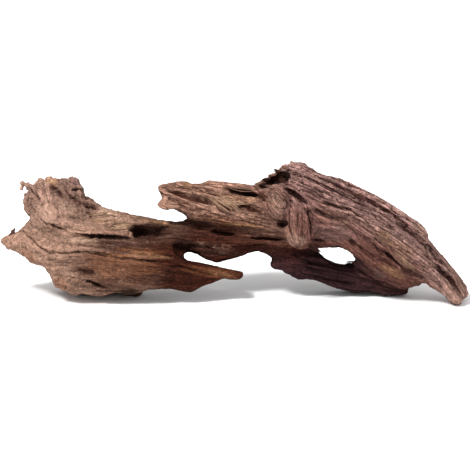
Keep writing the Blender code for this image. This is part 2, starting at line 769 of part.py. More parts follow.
def fissure_depth(points, facing, fissures):
    """The depth of the deepest fissure at each point: a rounded V that tapers to both ends."""
    depth = np.zeros(len(points))
    flat = points[:, [0, 2]] / MM
    for course, width, deep in fissures.values():
        stations = [(x, 0, z, 0, 0) for x, z in course]
        line = smooth_stations(stations)[:, [0, 2]] / MM
        step = line[1:] - line[:-1]
        length = np.linalg.norm(step, axis=1)
        before = np.concatenate([[0], np.cumsum(length)[:-1]])
        ahead = step / length[:, None]
        offset = flat[:, None] - line[None, :-1]
        along = np.clip((offset * ahead).sum(2), 0, length)
        gap = np.linalg.norm(offset - ahead * along[..., None], axis=2)
        nearest = np.argmin(gap, axis=1)
        pick = np.arange(len(flat))
        share = (before[nearest] + along[pick, nearest]) / length.sum()
        taper = np.sqrt(np.sin(math.pi * (BLUNTNESS + (1 - 2 * BLUNTNESS) * share)))
        reach = FISSURE_LIP * width / 2 * taper
        profile = np.clip(1 - (gap[pick, nearest] / reach) ** 2, 0, 1)
        depth = np.maximum(depth, deep * taper * profile)
    lowest, highest = FACING
    return depth * np.clip((facing - lowest) / (highest - lowest), 0, 1)


def wall_thickness(obj, points, normals):
    """How far the wood reaches under each point, straight in from the surface, in millimetres."""
    tree = BVHTree.FromObject(obj, bpy.context.evaluated_depsgraph_get())
    thickness = np.full(len(points), LENGTH)
    skin = 0.05 * MM
    for i, (point, normal) in enumerate(zip(points, normals)):
        far = tree.ray_cast(Vector(point - normal * skin), Vector(-normal))[3]
        if far is not None:
            thickness[i] = far / MM
    return thickness


def carve(obj):
    """Cuts the grooves of the grain and the fissures of both sides into the surface."""
    points, normals = read_points(obj)
    grooves = blend_along_grain(points, groove_height)
    front = fissure_depth(points, -normals[:, 1], FISSURES)
    back = fissure_depth(points, normals[:, 1], BACK_FISSURES)
    deepest = CARVED_SHARE * wall_thickness(obj, points, normals)
    rise = np.maximum(RIDGE_RISE + grooves - front - back, -deepest)
    write_points(obj, points + normals * (rise * MM)[:, None])


def sight_prism(name, groups, collection):
    """The flat outline made a prism that widens with distance, as lines of sight do."""
    curve = bpy.data.curves.new(name, "CURVE")
    curve.dimensions = "2D"
    curve.fill_mode = "BOTH"
    curve.extrude = PRISM_HALF_DEPTH * MM
    for group in groups:
        spline = curve.splines.new("POLY")
        spline.points.add(len(group) - 1)
        for point, (x, z) in zip(spline.points, group):
            point.co = (x * MM, z * MM, 0, 1)
        spline.use_cyclic_u = True
    flat = bpy.data.objects.new(name, curve)
    collection.objects.link(flat)
    mesh = bpy.data.meshes.new_from_object(flat.evaluated_get(bpy.context.evaluated_depsgraph_get()))
    bpy.data.objects.remove(flat)
    work = bmesh.new()
    work.from_mesh(mesh)
    bmesh.ops.remove_doubles(work, verts=work.verts, dist=0.01 * MM)
    centre_x, centre_z = VIEW_CENTRE
    for vert in work.verts:
        x, z, y = vert.co / MM
        spread = 1 + y / VIEW_DISTANCE
        vert.co = Vector((centre_x + (x - centre_x) * spread, y, centre_z + (z - centre_z) * spread)) * MM
    bmesh.ops.recalc_face_normals(work, faces=work.faces)
    work.to_mesh(mesh)
    work.free()
    obj = bpy.data.objects.new(name, mesh)
    collection.objects.link(obj)
    return obj


def fuse_limbs(collection):
    """All limbs in one mesh, made one closed body."""
    pieces = [loft(name, stations, collection) for name, stations in LIMBS.items()]
    work = bmesh.new()
    for piece in pieces:
        work.from_mesh(piece.data)
    mesh = bpy.data.meshes.new("driftwood")
    work.to_mesh(mesh)
    work.free()
    for piece in pieces:
        bpy.data.objects.remove(piece)
    wood = bpy.data.objects.new("driftwood", mesh)
    collection.objects.link(wood)
    remesh(wood, SMOOTH_PASSES["fused"])
    keep_largest_body(wood)
    return wood


def thin_out(obj):
    """Fewer, larger triangles where the surface is flat."""
    obj.data.calc_loop_triangles()
    decimate = obj.modifiers.new("thin_out", "DECIMATE")
    decimate.ratio = min(1.0, TRIANGLES / len(obj.data.loop_triangles))
    triangulate = obj.modifiers.new("triangulate", "TRIANGULATE")
    triangulate.min_vertices = 4
    apply_modifiers(obj)


def crossing_corners(work):
    """The corners of faces that pass through each other without sharing a corner."""
    work.faces.ensure_lookup_table()
    tree = BVHTree.FromBMesh(work, epsilon=0.0)
    corners = set()
    for i, j in tree.overlap(tree):
        first, second = set(work.faces[i].verts), set(work.faces[j].verts)
        if i < j and not first & second:
            corners |= first | second
    return list(corners)


def uncross(obj):
    """Smooths the few places where thinned faces pass through each other."""
    work = bmesh.new()
    work.from_mesh(obj.data)
    for _ in range(UNCROSS_ROUNDS):
        corners = crossing_corners(work)
        if not corners:
            break
        bmesh.ops.smooth_vert(
            work, verts=corners, factor=0.5, use_axis_x=True, use_axis_y=True, use_axis_z=True
        )
    work.to_mesh(obj.data)
    work.free()


def rest_on_floor(obj, collection):
    """Leans the wood back, cuts its feet flat where they meet the floor and centres it."""
    obj.data.transform(Matrix.Rotation(-math.radians(LEAN_DEG), 4, "X"))
    obj.data.transform(Matrix.Translation((0, 0, -FLOOR * MM)))
    bpy.ops.mesh.primitive_cube_add(size=1)
    floor = bpy.context.object
    floor.name = "floor_cut"
    floor.dimensions = (2 * LENGTH * MM, LENGTH * MM, FLOOR_CUT * MM)
    floor.location = (LENGTH / 2 * MM, 0, -FLOOR_CUT / 2 * MM)
    bpy.context.view_layer.update()
    combine(obj, "DIFFERENCE", [floor])
    keep_largest_body(obj)
    points, _ = read_points(obj)
    middle = (points.min(0) + points.max(0)) / 2
    obj.data.transform(Matrix.Translation((-middle[0], -middle[1], 0)))


def wood_material():
    material = bpy.data.materials.new("driftwood")
    material.use_nodes = True
    shader = material.node_tree.nodes["Principled BSDF"]
    shader.inputs["Base Color"].default_value = WOOD_COLOUR
    shader.inputs["Roughness"].default_value = WOOD_ROUGHNESS
    shader.inputs["Metallic"].default_value = 0.0
    return material


for leftover in list(bpy.data.objects):
    bpy.data.objects.remove(leftover)
model = new_collection("honeycomb_driftwood")
tools = new_collection("shaping")

wood = fuse_limbs(model)
flute(wood)
remesh(wood, SMOOTH_PASSES["fluted"])
outer = [point for stretch in OUTLINE.values() for point in stretch]
combine(wood, "INTERSECT", [sight_prism("outline", [outer, WINDOW], tools)])
combine(wood, "DIFFERENCE", [loft(name, rows, tools) for name, rows in HOLLOWS.items()])
remesh(wood, SMOOTH_PASSES["trimmed"])
keep_largest_body(wood)
carve(wood)
thin_out(wood)
uncross(wood)
splinters = [loft(name, rows, tools, SPLINTER_RING_POINTS) for name, rows in SPLINTERS.items()]
combine(wood, "UNION", splinters, "MANIFOLD")
rest_on_floor(wood, tools)
wood.data.materials.append(wood_material())
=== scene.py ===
import math

import bpy
import numpy as np
from mathutils import Matrix, Vector


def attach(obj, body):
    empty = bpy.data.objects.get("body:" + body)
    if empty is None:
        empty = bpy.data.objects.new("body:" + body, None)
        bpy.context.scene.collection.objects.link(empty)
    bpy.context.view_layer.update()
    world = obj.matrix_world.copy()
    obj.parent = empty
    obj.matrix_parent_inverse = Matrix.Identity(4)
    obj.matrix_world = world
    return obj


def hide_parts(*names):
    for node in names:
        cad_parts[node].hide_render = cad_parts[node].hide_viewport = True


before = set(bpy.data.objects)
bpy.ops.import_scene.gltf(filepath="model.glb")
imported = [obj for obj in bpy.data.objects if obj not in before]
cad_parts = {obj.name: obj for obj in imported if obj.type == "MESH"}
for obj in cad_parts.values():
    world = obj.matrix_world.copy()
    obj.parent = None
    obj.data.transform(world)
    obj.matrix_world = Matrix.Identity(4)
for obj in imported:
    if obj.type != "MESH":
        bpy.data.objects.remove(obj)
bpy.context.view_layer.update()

# The view.
# The wood was drawn as its front is seen: X right from the left tip, Z up and Y away, in millimetres.
# It leans back on its feet, and a long lens looks at it square to the drawing from 2.2 m away.
MM = 0.001
LEAN = math.radians(15.0)
FLOOR = 2.8
DRAWING_MIDDLE = np.array([201.623, 24.989, 0.0])
VIEW_CENTRE = np.array([202.1, 0.0, 61.06])
VIEW_DISTANCE = 2245.6
LENS = 200.0
SENSOR = 36.0
LEANED = np.array(Matrix.Rotation(-LEAN, 3, "X"))


def to_world(drawn):
    """Drawn points turned about X by the lean, lowered to the floor cut and centred, in metres."""
    return (drawn @ LEANED.T - DRAWING_MIDDLE - np.array([0.0, 0.0, FLOOR])) * MM


def to_drawing(points):
    """The inverse of to_world."""
    return (points / MM + DRAWING_MIDDLE + np.array([0.0, 0.0, FLOOR])) @ LEANED


def placed(name, data):
    """A new object of the data, in the scene."""
    obj = bpy.data.objects.new(name, data)
    bpy.context.scene.collection.objects.link(obj)
    return obj


toward_viewer = LEANED @ np.array([0.0, -1.0, 0.0])
camera = placed("camera", bpy.data.cameras.new("camera"))
camera.data.lens = LENS
camera.data.sensor_width = SENSOR
camera.location = to_world(VIEW_CENTRE) + toward_viewer * VIEW_DISTANCE * MM
camera.rotation_mode = "QUATERNION"
camera.rotation_quaternion = Vector(-toward_viewer).to_track_quat("-Z", "Y")
bpy.context.scene.camera = camera

# The wood.
# One body of weathered root wood: the CAD solid made a fine skin, its facets relaxed away, and cut
# along its fibres by water and sand. It lies loose, and nothing fixes it.
WELD_GAP = 0.01
FINE_VOXEL = 0.75
RELAX_ROUNDS = 14
FACET_MOVE = 0.55
TRIANGLES = 196000
TINY = 1e-12

# The run of the fibres on each part of the wood: lines, each with the x, y and z of its points.
GRAIN = {
    "flare": [
        (4.3, 6, 55.9, 21.5, -8, 56.8, 38.7, -20, 51.6, 60.2, -28, 48.2, 86, -30, 46.4, 111.8, -27, 43),
        (25.8, -5, 69.7, 43, -20, 63.6, 64.5, -28, 58.5, 90.3, -28, 58.5, 107.5, -22, 58.5),
        (43, -22, 78.3, 64.5, -28, 75.7, 86, -25, 72.2, 111.8, -18, 72.2, 141.9, -8, 72.2),
        (43, -10, 22.4, 68.8, -20, 19.8, 94.6, -24, 18.1, 120.4, -20, 16.3),
        (34.4, -5, 37.8, 51.6, -22, 32.7, 77.4, -28, 32.7, 103.2, -27, 31),
        (81.7, -5, 80.8, 103.2, -8, 75.7, 129, -4, 70.5, 146.2, 0, 70.5),
        (17.2, 18, 56.8, 51.6, 40, 52.5, 86, 38, 48.2, 111.8, 25, 48.2),
        (38.7, 30, 26.7, 77.4, 40, 31, 103.2, 30, 26.7), (43, 35, 74, 77.4, 42, 69.7, 120.4, 28, 61.1),
    ],
    "burl": [
        (18.9, 2, 105.8, 25.8, -3, 99.8, 32.7, -12, 91.2, 38.7, -20, 78.3),
        (34.4, 0, 108.4, 39.6, -15, 95.5, 43, -24, 82.6),
        (47.3, -5, 112.7, 48.2, -20, 99.8, 49.9, -27, 86.9, 53.3, -28, 74),
        (60.2, -2, 110.1, 61.9, -10, 98, 68.8, -8, 89.4, 86, -4, 84.3),
        (43, 15, 108.4, 44.7, 30, 91.2, 48.2, 38, 69.7),
    ],
    "limb": [
        (86, -26, 41.3, 120.4, -24, 37.8, 150.5, -14, 32.7, 180.6, -9, 25.8, 206.4, -7, 21.5),
        (94.6, -25, 52.5, 124.7, -22, 49, 150.5, -16, 46.4),
        (94.6, -22, 24.1, 129, -18, 19.8, 159.1, -10, 18.1, 176.3, -8, 22.4),
        (94.6, 28, 35.3, 129, 22, 34.4, 163.4, 12, 29.2, 204.7, 6, 24.1),
    ],
    "stem": [
        (111.8, 0, 65.4, 141.9, -2, 63.6, 172, -6, 60.2, 206.4, -10, 58.5, 245.1, -10, 56.8),
        (146.2, -4, 49.9, 176.3, -8, 49, 210.7, -12, 51.6, 249.4, -10, 48.2),
        (129, 6, 72.2, 159.1, 0, 68.8, 189.2, -6, 67.1, 223.6, -12, 63.6),
        (94.6, 34, 65.4, 137.6, 32, 61.1, 189.2, 27, 60.2, 240.8, 32, 56.8),
    ],
    "prong": [
        (137.6, -12, 104.9, 159.1, -18, 98, 180.6, -22, 89.4, 199.5, -24, 80.8, 225.3, -26, 72.2),
        (139.3, -12, 87.7, 159.1, -18, 84.3, 184.9, -22, 76.5, 215, -26, 68.8, 240.8, -27, 63.6),
        (159.1, -8, 104.9, 184.9, -14, 104.1, 210.7, -20, 100.6, 228.8, -24, 94.6),
        (176.3, 0, 107.5, 206.4, -2, 104.9, 230.5, -6, 98), (141.9, 12, 99.8, 172, 24, 91.2, 215, 30, 86),
    ],
    "knot": [
        (228.8, -14, 99.8, 235.6, -24, 103.2, 244.2, -30, 98, 251.1, -32, 88.6),
        (233.9, -26, 94.6, 237.4, -32, 84.3, 241.7, -30, 73.1),
        (255.4, -32, 91.2, 258, -38, 78.3, 260.6, -38, 63.6, 260.6, -34, 53.3),
        (263.2, -35, 86, 267.5, -38, 72.2, 267.5, -34, 56.8),
    ],
    "crown": [
        (244.2, 0, 120.4, 266.6, -6, 115.2, 296.7, -10, 101.5, 331.1, -14, 84.3, 356.9, -14, 68.8, 378.4,
         -14, 48.2),
        (240.8, -14, 111.8, 262.3, -24, 103.2, 296.7, -30, 89.4, 326.8, -30, 74, 352.6, -26, 56.8, 374.1,
         -22, 37.8), (249.4, -28, 98, 270.9, -34, 91.2, 301, -36, 80.8, 322.5, -32, 68.8),
        (254.6, 10, 123.8, 283.8, 10, 117, 318.2, 6, 96.3, 352.6, 2, 78.3, 378.4, -4, 49.9),
        (245.1, 40, 108.4, 275.2, 50, 95.5, 309.6, 48, 78.3, 344, 34, 56.8, 369.8, 20, 39.6),
        (240.8, 46, 86.9, 275.2, 50, 72.2, 309.6, 42, 52.5, 335.4, 30, 37.8),
    ],
    "hem": [
        (273.5, -36, 78.3, 292.4, -38, 70.5, 311.3, -34, 56.8, 331.1, -28, 41.3, 352.6, -22, 29.2),
        (270.9, -32, 58.5, 292.4, -34, 54.2, 311.3, -30, 44.7, 335.4, -22, 29.2, 356.9, -12, 22.4),
        (331.1, 2, 32.7, 348.3, 0, 24.1, 361.2, 1, 21.5),
    ],
    "fingers": [
        (356.9, -20, 52.5, 369.8, -20, 41.3, 382.7, -18, 24.1, 391.3, -16, 9.5, 395.6, -13, 2.6),
        (365.5, -8, 52.5, 378.4, -8, 37.8, 391.3, -6, 22.4, 400.8, -4, 10.3),
    ],
    "back_limb": [
        (237.4, 2, 37.8, 262.3, 4, 32.7, 292.4, 8, 24.1, 322.5, 10, 17.2, 348.3, 12, 12.9),
        (243.4, 5, 29.2, 270.9, 8, 21.5, 301, 9, 16.3, 339.7, 14, 11.2),
        (309.6, 4, 37.8, 325.1, 8, 26.7, 339.7, 12, 15.5),
        (240.8, 30, 32.7, 275.2, 36, 25.8, 309.6, 36, 19.8, 344, 26, 12.9),
    ],
}
# Cracks of the front: width, depth, then the x and z of their points.
CRACKS = {
    "crown": [
        (3.3, 4.5, 258, 120.4, 268.3, 114.8, 279.5, 108.8, 292.4, 102.8, 305.3, 97.2, 318.2, 91.2, 326.8, 86,
         337.1, 80, 344, 74.8, 352.6, 67.1, 365.5, 56.8), (3.9, 3, 260.6, 119.5, 267.5, 116.1, 275.2, 111.8),
        (2.1, 3, 245.1, 116.1, 258, 111.8, 270.9, 106.6, 283.8, 99.8, 296.7, 93.7, 309.6, 88.6, 322.5, 83.4,
         331.1, 79.1), (2.9, 4.5, 243.4, 101.5, 251.1, 97.2, 258, 92.9, 264.9, 88.6),
        (1.9, 2.4, 249.4, 108.4, 262.3, 104.9, 273.5, 100.6, 283.8, 96.3, 294.1, 92),
        (1.5, 2, 247.7, 112.7, 258, 108.4, 268.3, 104.9, 276.9, 100.6),
        (1.7, 2.4, 254.6, 101.5, 266.6, 98, 278.6, 92.9, 290.7, 87.7),
        (1.5, 2, 268.3, 108.4, 280.4, 103.2, 294.1, 98, 307.9, 92),
        (2.2, 3.5, 264.9, 95.5, 275.2, 90.3, 288.1, 85.1, 301, 82.6, 311.3, 76.5, 319.9, 68.8, 325.1, 60.2),
        (1.4, 1.8, 258, 103.2, 273.5, 97.2, 283.8, 91.2),
        (1.7, 2.2, 309.6, 92, 321.6, 87.7, 333.7, 81.7, 342.3, 74),
        (1.5, 2, 302.7, 88.6, 314.8, 83.4, 326.8, 76.5, 335.4, 68.8),
        (2.1, 3, 339.7, 78.3, 350, 67.1, 361.2, 56.8, 369.8, 50.7, 378.4, 43.9),
        (1.5, 2.4, 342.3, 72.2, 349.2, 66.2, 355.2, 60.2), (1.4, 2, 347.4, 74.8, 354.3, 68.8, 361.2, 61.9),
        (1.7, 2, 254.6, 122.1, 266.6, 117, 276.9, 110.9),
        (1.5, 1.8, 283.8, 112.7, 301, 104.9, 319.9, 95.5, 339.7, 84.3),
        (1.4, 1.6, 352.6, 77.4, 362.9, 68.8, 373.2, 58.5), (1.3, 1.6, 271.8, 103.2, 282.1, 98, 292.4, 93.7),
        (1.3, 1.8, 290.7, 99.8, 302.7, 94.6, 313, 88.6),
    ],
    "hem": [
        (2.2, 3.2, 326.8, 48.2, 335.4, 42.1, 343.1, 35.3, 350, 29.2),
        (1.9, 2, 301, 56.8, 307, 51.6, 316.5, 43, 326.8, 34.4),
        (1.5, 1.6, 302.7, 67.1, 307.9, 58.5, 314.8, 49.9), (2.6, 3, 268.3, 56.8, 273.5, 55.9, 278.6, 55),
        (2.8, 3, 298.4, 55.9, 302.7, 54.2, 306.2, 51.6), (1.5, 1.2, 268.3, 72.2, 279.5, 70.5, 292.4, 67.1),
        (1.5, 1.8, 314.8, 60.2, 323.4, 49.9, 332, 41.3), (1.5, 1.6, 340.6, 46.4, 347.4, 39.6, 354.3, 32.7),
        (2.8, 2.5, 319.9, 41.3, 330.2, 37.8, 340.6, 32.7),
    ],
    "fingers": [
        (2.6, 3.5, 373.2, 35.3, 381.8, 27.7, 387.4, 21.9, 393.4, 14.2, 398.2, 6.5),
        (1.5, 2.4, 364.6, 46.4, 373.2, 37.8, 380.1, 31), (1.3, 1.6, 383.6, 37.8, 390.4, 30.1, 397.3, 20.6),
        (1.4, 1.6, 359.5, 48.2, 368.1, 37.8, 375, 29.2), (1.4, 1.8, 366.4, 53.3, 376.7, 41.3, 385.3, 32.7),
    ],
    "prong": [
        (4, 4.5, 141, 99.8, 147.9, 98.9, 156.5, 95.5, 165.1, 92, 174.6, 90.3, 183.2, 87.7),
        (4.3, 2.5, 168.6, 92, 175.4, 90.3, 182.3, 87.7), (1.4, 1.8, 140.2, 92.9, 146.2, 91.2, 153.1, 87.7),
        (1.4, 1.8, 144.5, 89.4, 154.8, 86, 165.1, 82.6),
        (1.7, 2.2, 147.9, 92.9, 159.1, 87.7, 170.3, 83.4, 182.3, 80.8),
        (1.7, 2, 158.2, 104.1, 168.6, 100.6, 180.6, 96.3, 193.5, 94.6),
        (1.3, 1.8, 165.1, 105.8, 175.4, 101.5, 185.8, 97.2),
        (1.3, 1.6, 173.7, 106.6, 184, 102.3, 194.4, 98.9),
        (1.5, 1.4, 163.4, 77.4, 180.6, 74, 197.8, 69.7, 215, 67.1),
        (2.1, 2.4, 175.4, 100.6, 178.9, 99.3, 181.5, 98),
        (3.6, 3.5, 199.5, 88.6, 206.4, 86, 215, 83.4, 225.3, 80),
        (4, 3.4, 189.2, 101.9, 199.5, 99.3, 209.8, 97.4, 220.2, 95.1, 227, 92),
        (1.7, 3, 183.2, 90.3, 188.3, 84.3, 194.4, 78.3), (1.5, 2.6, 187.5, 92, 193.5, 86, 199.5, 80),
        (1.4, 2.2, 191.8, 91.2, 198.7, 85.1, 204.7, 79.1), (2.9, 3, 185.8, 85.1, 189.2, 82.6, 192.6, 80),
        (1.5, 1.4, 206.4, 77.4, 216.7, 74.8, 227, 72.2), (1.3, 1.2, 194.4, 74.8, 210.7, 72.2, 225.3, 68.8),
    ],
    "flare": [
        (1.7, 2.6, 15.5, 68.8, 20.6, 63.6, 25.8, 59.3, 31, 54.2, 36.1, 49, 43, 45.6, 51.6, 44.7),
        (1.5, 2.2, 49.9, 44.7, 61.9, 46.4, 75.7, 46.4, 90.3, 43, 104.9, 41.3),
        (2.1, 2.6, 90.3, 43, 103.2, 41.3, 116.1, 40.4, 129, 38.7, 150.5, 37.8),
        (2.9, 4.5, 61.9, 62.4, 75.7, 60.9, 92.9, 60.2, 112.7, 58.3),
        (1.5, 2, 56.8, 60.2, 65.4, 60.2, 75.7, 60.2),
        (2.9, 4.5, 72.2, 23.2, 79.1, 20.6, 86, 17.2, 92.9, 15.5),
        (1.4, 2.4, 56.8, 26.7, 65.4, 24.1, 74, 21.5), (4.7, 2.5, 63.6, 30.1, 72.2, 29.2, 83.4, 27.5),
        (2.9, 3.2, 41.3, 71.4, 46.4, 68.8, 51.6, 67.1, 56.8, 66.2),
        (1.7, 2.2, 34.4, 76.5, 37.8, 72.2, 43, 68.8), (2.6, 4, 72.2, 86, 77.4, 85.1, 85.1, 83.4),
        (3.4, 4, 74, 81.7, 76.5, 80, 79.1, 76.5), (1.9, 2, 49, 76.5, 52.5, 76.5),
        (1.9, 2.2, 57.6, 76.5, 62.8, 75.7, 67.9, 75.7), (2.2, 2.6, 92.9, 67.9, 98, 68.8, 104.9, 69.7),
        (1.4, 1.8, 96.3, 65.4, 101.5, 66.2, 108.4, 66.2), (1.5, 1.6, 84.3, 71.4, 91.2, 73.1, 99.8, 74.8),
        (1.5, 2.5, 110.1, 64.5, 110.1, 60.2), (1.5, 1.4, 86, 79.1, 92.9, 77.4, 101.5, 75.7),
        (1.5, 1.4, 60.2, 66.2, 68.8, 64.5, 79.1, 64.5), (1.5, 1.6, 86, 54.2, 96.3, 53.3, 106.6, 51.6),
        (1.4, 1.2, 51.6, 37.8, 64.5, 36.1, 79.1, 37), (1.7, 2, 77.4, 12, 89.4, 12.9, 99.8, 12.9),
    ],
    "burl": [
        (3.8, 3.6, 43, 103.2, 46.4, 100.6, 48.2, 99.8), (4, 4.2, 49, 99.8, 50.7, 97.2, 53.3, 94.6),
        (3.4, 3.4, 55, 103.2, 58.5, 97.2, 61.9, 92.9, 66.2, 86.9),
        (2.9, 3.6, 61.9, 94.6, 66.2, 90.3, 72.2, 86.9),
        (1.9, 2.8, 23.2, 104.9, 26.7, 99.8, 31.8, 94.6, 37, 89.4),
        (2.4, 4.5, 62.8, 99.8, 67.1, 100.2, 71.4, 99.8), (1.5, 2, 60.2, 106.6, 65.4, 105.8, 69.7, 104.1),
        (1.7, 2.6, 34.4, 106.6, 37, 104.9, 38.7, 103.2), (2.1, 2.4, 49, 109.2, 51.6, 107.5),
        (1.5, 1.4, 39.6, 94.6, 41.3, 88.6, 44.7, 82.6), (1.5, 1.6, 24.1, 86, 28.4, 83.4, 32.7, 79.1),
        (1.4, 1.6, 56.8, 109.2, 60.2, 107.5, 63.6, 108.4), (1.4, 1.4, 45.6, 91.2, 47.3, 85.1, 51.6, 80.8),
        (1.5, 1.6, 53.3, 91.2, 56.8, 86, 61.9, 81.7),
    ],
    "limb": [
        (1.5, 1.6, 77.4, 54.2, 94.6, 53.3, 111.8, 50.7, 129, 48.2, 146.2, 48.2),
        (1.5, 1.8, 120.4, 37, 137.6, 36.1, 159.1, 32.7, 184.9, 27.5),
        (1.5, 1.3, 86, 31, 111.8, 26.7, 137.6, 24.9, 163.4, 22.4),
        (1.4, 1.4, 101.5, 46.4, 117, 44.7, 134.2, 43, 149.6, 43),
        (1.4, 1.4, 129, 31, 147.9, 29.2, 168.6, 25.8), (1.4, 1.2, 103.2, 36.1, 118.7, 34.4, 130.7, 33.5),
        (1.4, 1.2, 110.1, 19.8, 129, 18.9, 147.9, 17.2), (1.4, 1.4, 151.4, 34.4, 168.6, 31, 189.2, 25.8),
    ],
    "stem": [
        (1.9, 2.2, 158.2, 67.9, 176.3, 66.2, 196.1, 65.4, 215, 63.6),
        (3.6, 4.5, 178, 63.6, 184, 63.6, 190.9, 62.8, 204.7, 60.2),
        (2.6, 4.5, 215, 58.5, 225.3, 58.5, 233.9, 57.6, 246, 56.8),
        (1.3, 1.8, 203, 49.9, 215, 51.6, 225.3, 52.5, 236.5, 53.3),
        (1.4, 1.6, 206.4, 62.8, 219.3, 61.9, 232.2, 60.2), (1.7, 1.8, 168.6, 58.5, 184.9, 56.8, 201.2, 55.9),
        (1.7, 1.6, 172, 51.6, 182.3, 48.2, 190.9, 45.6), (1.5, 1.4, 184, 43, 194.4, 43, 204.7, 46.4),
        (1.5, 1.6, 129, 63.6, 146.2, 61.9, 163.4, 60.2),
    ],
    "knot": [
        (2.2, 3.4, 250.3, 88.6, 249, 80.8, 248.5, 72.2, 249.4, 63.6, 252, 55.9),
        (2.1, 3.2, 263.2, 88.6, 265.7, 80.8, 267.5, 69.7, 267.5, 58.5),
        (1.4, 1.6, 255.4, 80.8, 256.3, 72.2, 255.4, 61.9), (1.3, 1.6, 258.9, 86, 260.6, 74, 259.7, 60.2),
        (3.4, 3.6, 222.7, 97.2, 225.3, 93.7, 228.8, 89.4), (1.7, 2.4, 228.8, 92, 231.3, 84.3, 234.8, 76.5),
        (1.2, 1.2, 235.6, 98, 238.2, 89.4, 239.9, 79.1), (1.2, 1.2, 240.8, 99.8, 244.2, 91.2, 245.1, 80.8),
        (1.4, 1.6, 246.8, 94.6, 247.7, 86, 246.8, 77.4), (1.5, 2, 244.2, 98, 249.4, 92, 252.8, 86),
    ],
    "back_limb": [
        (2.6, 2.4, 245.1, 37.8, 266.6, 32.7, 288.1, 28.4, 309.6, 24.1, 331.1, 18.9),
        (1.7, 1.6, 258, 29.2, 283.8, 22.4, 309.6, 17.2), (2.6, 2.5, 275.2, 43, 288.1, 34.4, 301, 32.7),
        (1.7, 1.6, 249.4, 44.7, 261.4, 39.6, 273.5, 34.4), (1.5, 1.4, 237.4, 37.8, 251.1, 32.7, 264.9, 25.8),
        (1.7, 1.8, 306.2, 31, 318.2, 24.9, 332, 15.5),
    ],
}
# Ribs of harder wood that stand out of the front: width, height, then their points.
RIBS = {
    "crown": [
        (2.2, 1.3, 251.1, 117.8, 263.2, 112.7, 276.9, 106.6, 292.4, 99.8, 306.2, 93.7),
        (2.1, 1.2, 246, 110.1, 259.7, 106.6, 273.5, 102.3, 287.2, 96.3),
        (2.2, 1.3, 258, 98.9, 271.8, 93.7, 285.5, 88.6, 301, 85.1),
        (2.1, 1, 301, 92, 314.8, 86.9, 326.8, 81.7, 337.1, 74.8),
        (2.2, 0.9, 271.8, 115.2, 288.1, 108.4, 306.2, 99.8, 323.4, 92),
        (2.2, 1.3, 323.4, 67.1, 330.2, 55, 340.6, 43, 350, 31),
        (4.3, 1.4, 295.8, 83.4, 304.4, 80.8, 311.3, 74.8, 316.5, 67.1),
        (2.6, 0.9, 347.4, 79.1, 357.8, 70.5, 369.8, 58.5, 378.4, 46.4),
    ],
    "hem": [
        (3.4, 1, 326.8, 34.4, 337.1, 29.2, 347.4, 26.7), (5.2, 0.8, 271.8, 63.6, 283.8, 61.9, 295.8, 58.5),
    ],
    "fingers": [
        (4.3, 0.9, 364.6, 37.8, 375, 25.8, 385.3, 13.8, 392.2, 5.2),
        (3.1, 1.2, 376.7, 37.8, 383.6, 32.7, 391.3, 24.9, 398.2, 13.8),
    ],
    "prong": [
        (2.2, 1, 139.3, 103.2, 147.9, 102.3, 156.5, 98.9, 165.1, 95.5),
        (2.4, 1.4, 160, 104.1, 172, 98, 184, 93.7, 196.1, 93.7, 209.8, 92, 225.3, 89.4),
        (2.4, 0.9, 137.6, 88.6, 149.6, 86, 163.4, 80.8, 177.2, 77.4),
        (1.9, 0.8, 151.4, 91.2, 161.7, 86, 175.4, 81.7),
        (2.2, 1, 192.6, 104.1, 206.4, 104.1, 216.7, 101.5, 225.3, 95.5),
        (1.4, 1.2, 184, 92.9, 190.9, 86.9, 196.1, 80.8), (1.3, 1.2, 189.2, 92.9, 196.1, 86.9, 201.2, 81.7),
        (1.4, 0.8, 199.5, 69.7, 211.6, 68.8, 225.3, 67.9),
    ],
    "flare": [
        (3.4, 1.2, 79.1, 79.1, 89.4, 81.7, 99.8, 79.1, 110.1, 74),
        (2.9, 1, 56.8, 57.6, 68.8, 55.9, 81.7, 56.8), (2.1, 1, 101.5, 64.5, 108.4, 65.4, 113.5, 66.2),
        (2.9, 1.4, 72.2, 92, 79.1, 89.4, 84.3, 86), (3.4, 0.8, 5.2, 60.2, 13.8, 53.3, 24.1, 44.7),
        (3.4, 0.8, 53.3, 19.8, 63.6, 16.3, 75.7, 12.9),
    ],
    "burl": [
        (3.4, 1.2, 39.6, 109.2, 44.7, 108.4, 49, 104.9), (3.4, 1, 60.2, 109.2, 65.4, 110.1, 69.7, 107.5),
        (2.2, 1, 61.9, 103.2, 67.1, 103.2, 71.4, 102.3), (2.6, 1, 63.6, 96.3, 67.9, 97.2, 71.4, 96.3),
        (2.2, 0.9, 32.7, 105.8, 34.4, 101.5, 36.1, 96.3), (2.1, 1, 20.6, 104.9, 25.8, 103.2, 31, 99.8),
    ],
    "limb": [
        (1.7, 0.7, 96.3, 50.7, 111.8, 48.2, 127.3, 45.6, 142.8, 45.6),
        (2.6, 0.7, 168.6, 26.7, 184.9, 24.1, 203, 21.5),
    ],
    "stem": [
        (1.4, 0.9, 192.6, 49.9, 206.4, 52.5, 220.2, 54.2, 232.2, 55),
        (1.4, 0.7, 194.4, 60.2, 209.8, 61.1, 225.3, 60.2),
    ],
    "knot": [
        (2.6, 1, 252, 80.8, 252, 70.5, 253.7, 60.2), (2.6, 1, 258, 84.3, 258.4, 72.2, 258, 58.5),
        (2.2, 1, 263.2, 79.1, 264, 68.8, 262.3, 58.5), (4.3, 0.9, 232.2, 99.8, 235.6, 91.2, 239.1, 80.8),
    ],
    "back_limb": [
        (2.1, 0.8, 280.4, 37.8, 289, 32.7, 301, 31), (3.4, 0.6, 289, 27.5, 302.7, 23.2, 319.9, 20.6),
    ],
}
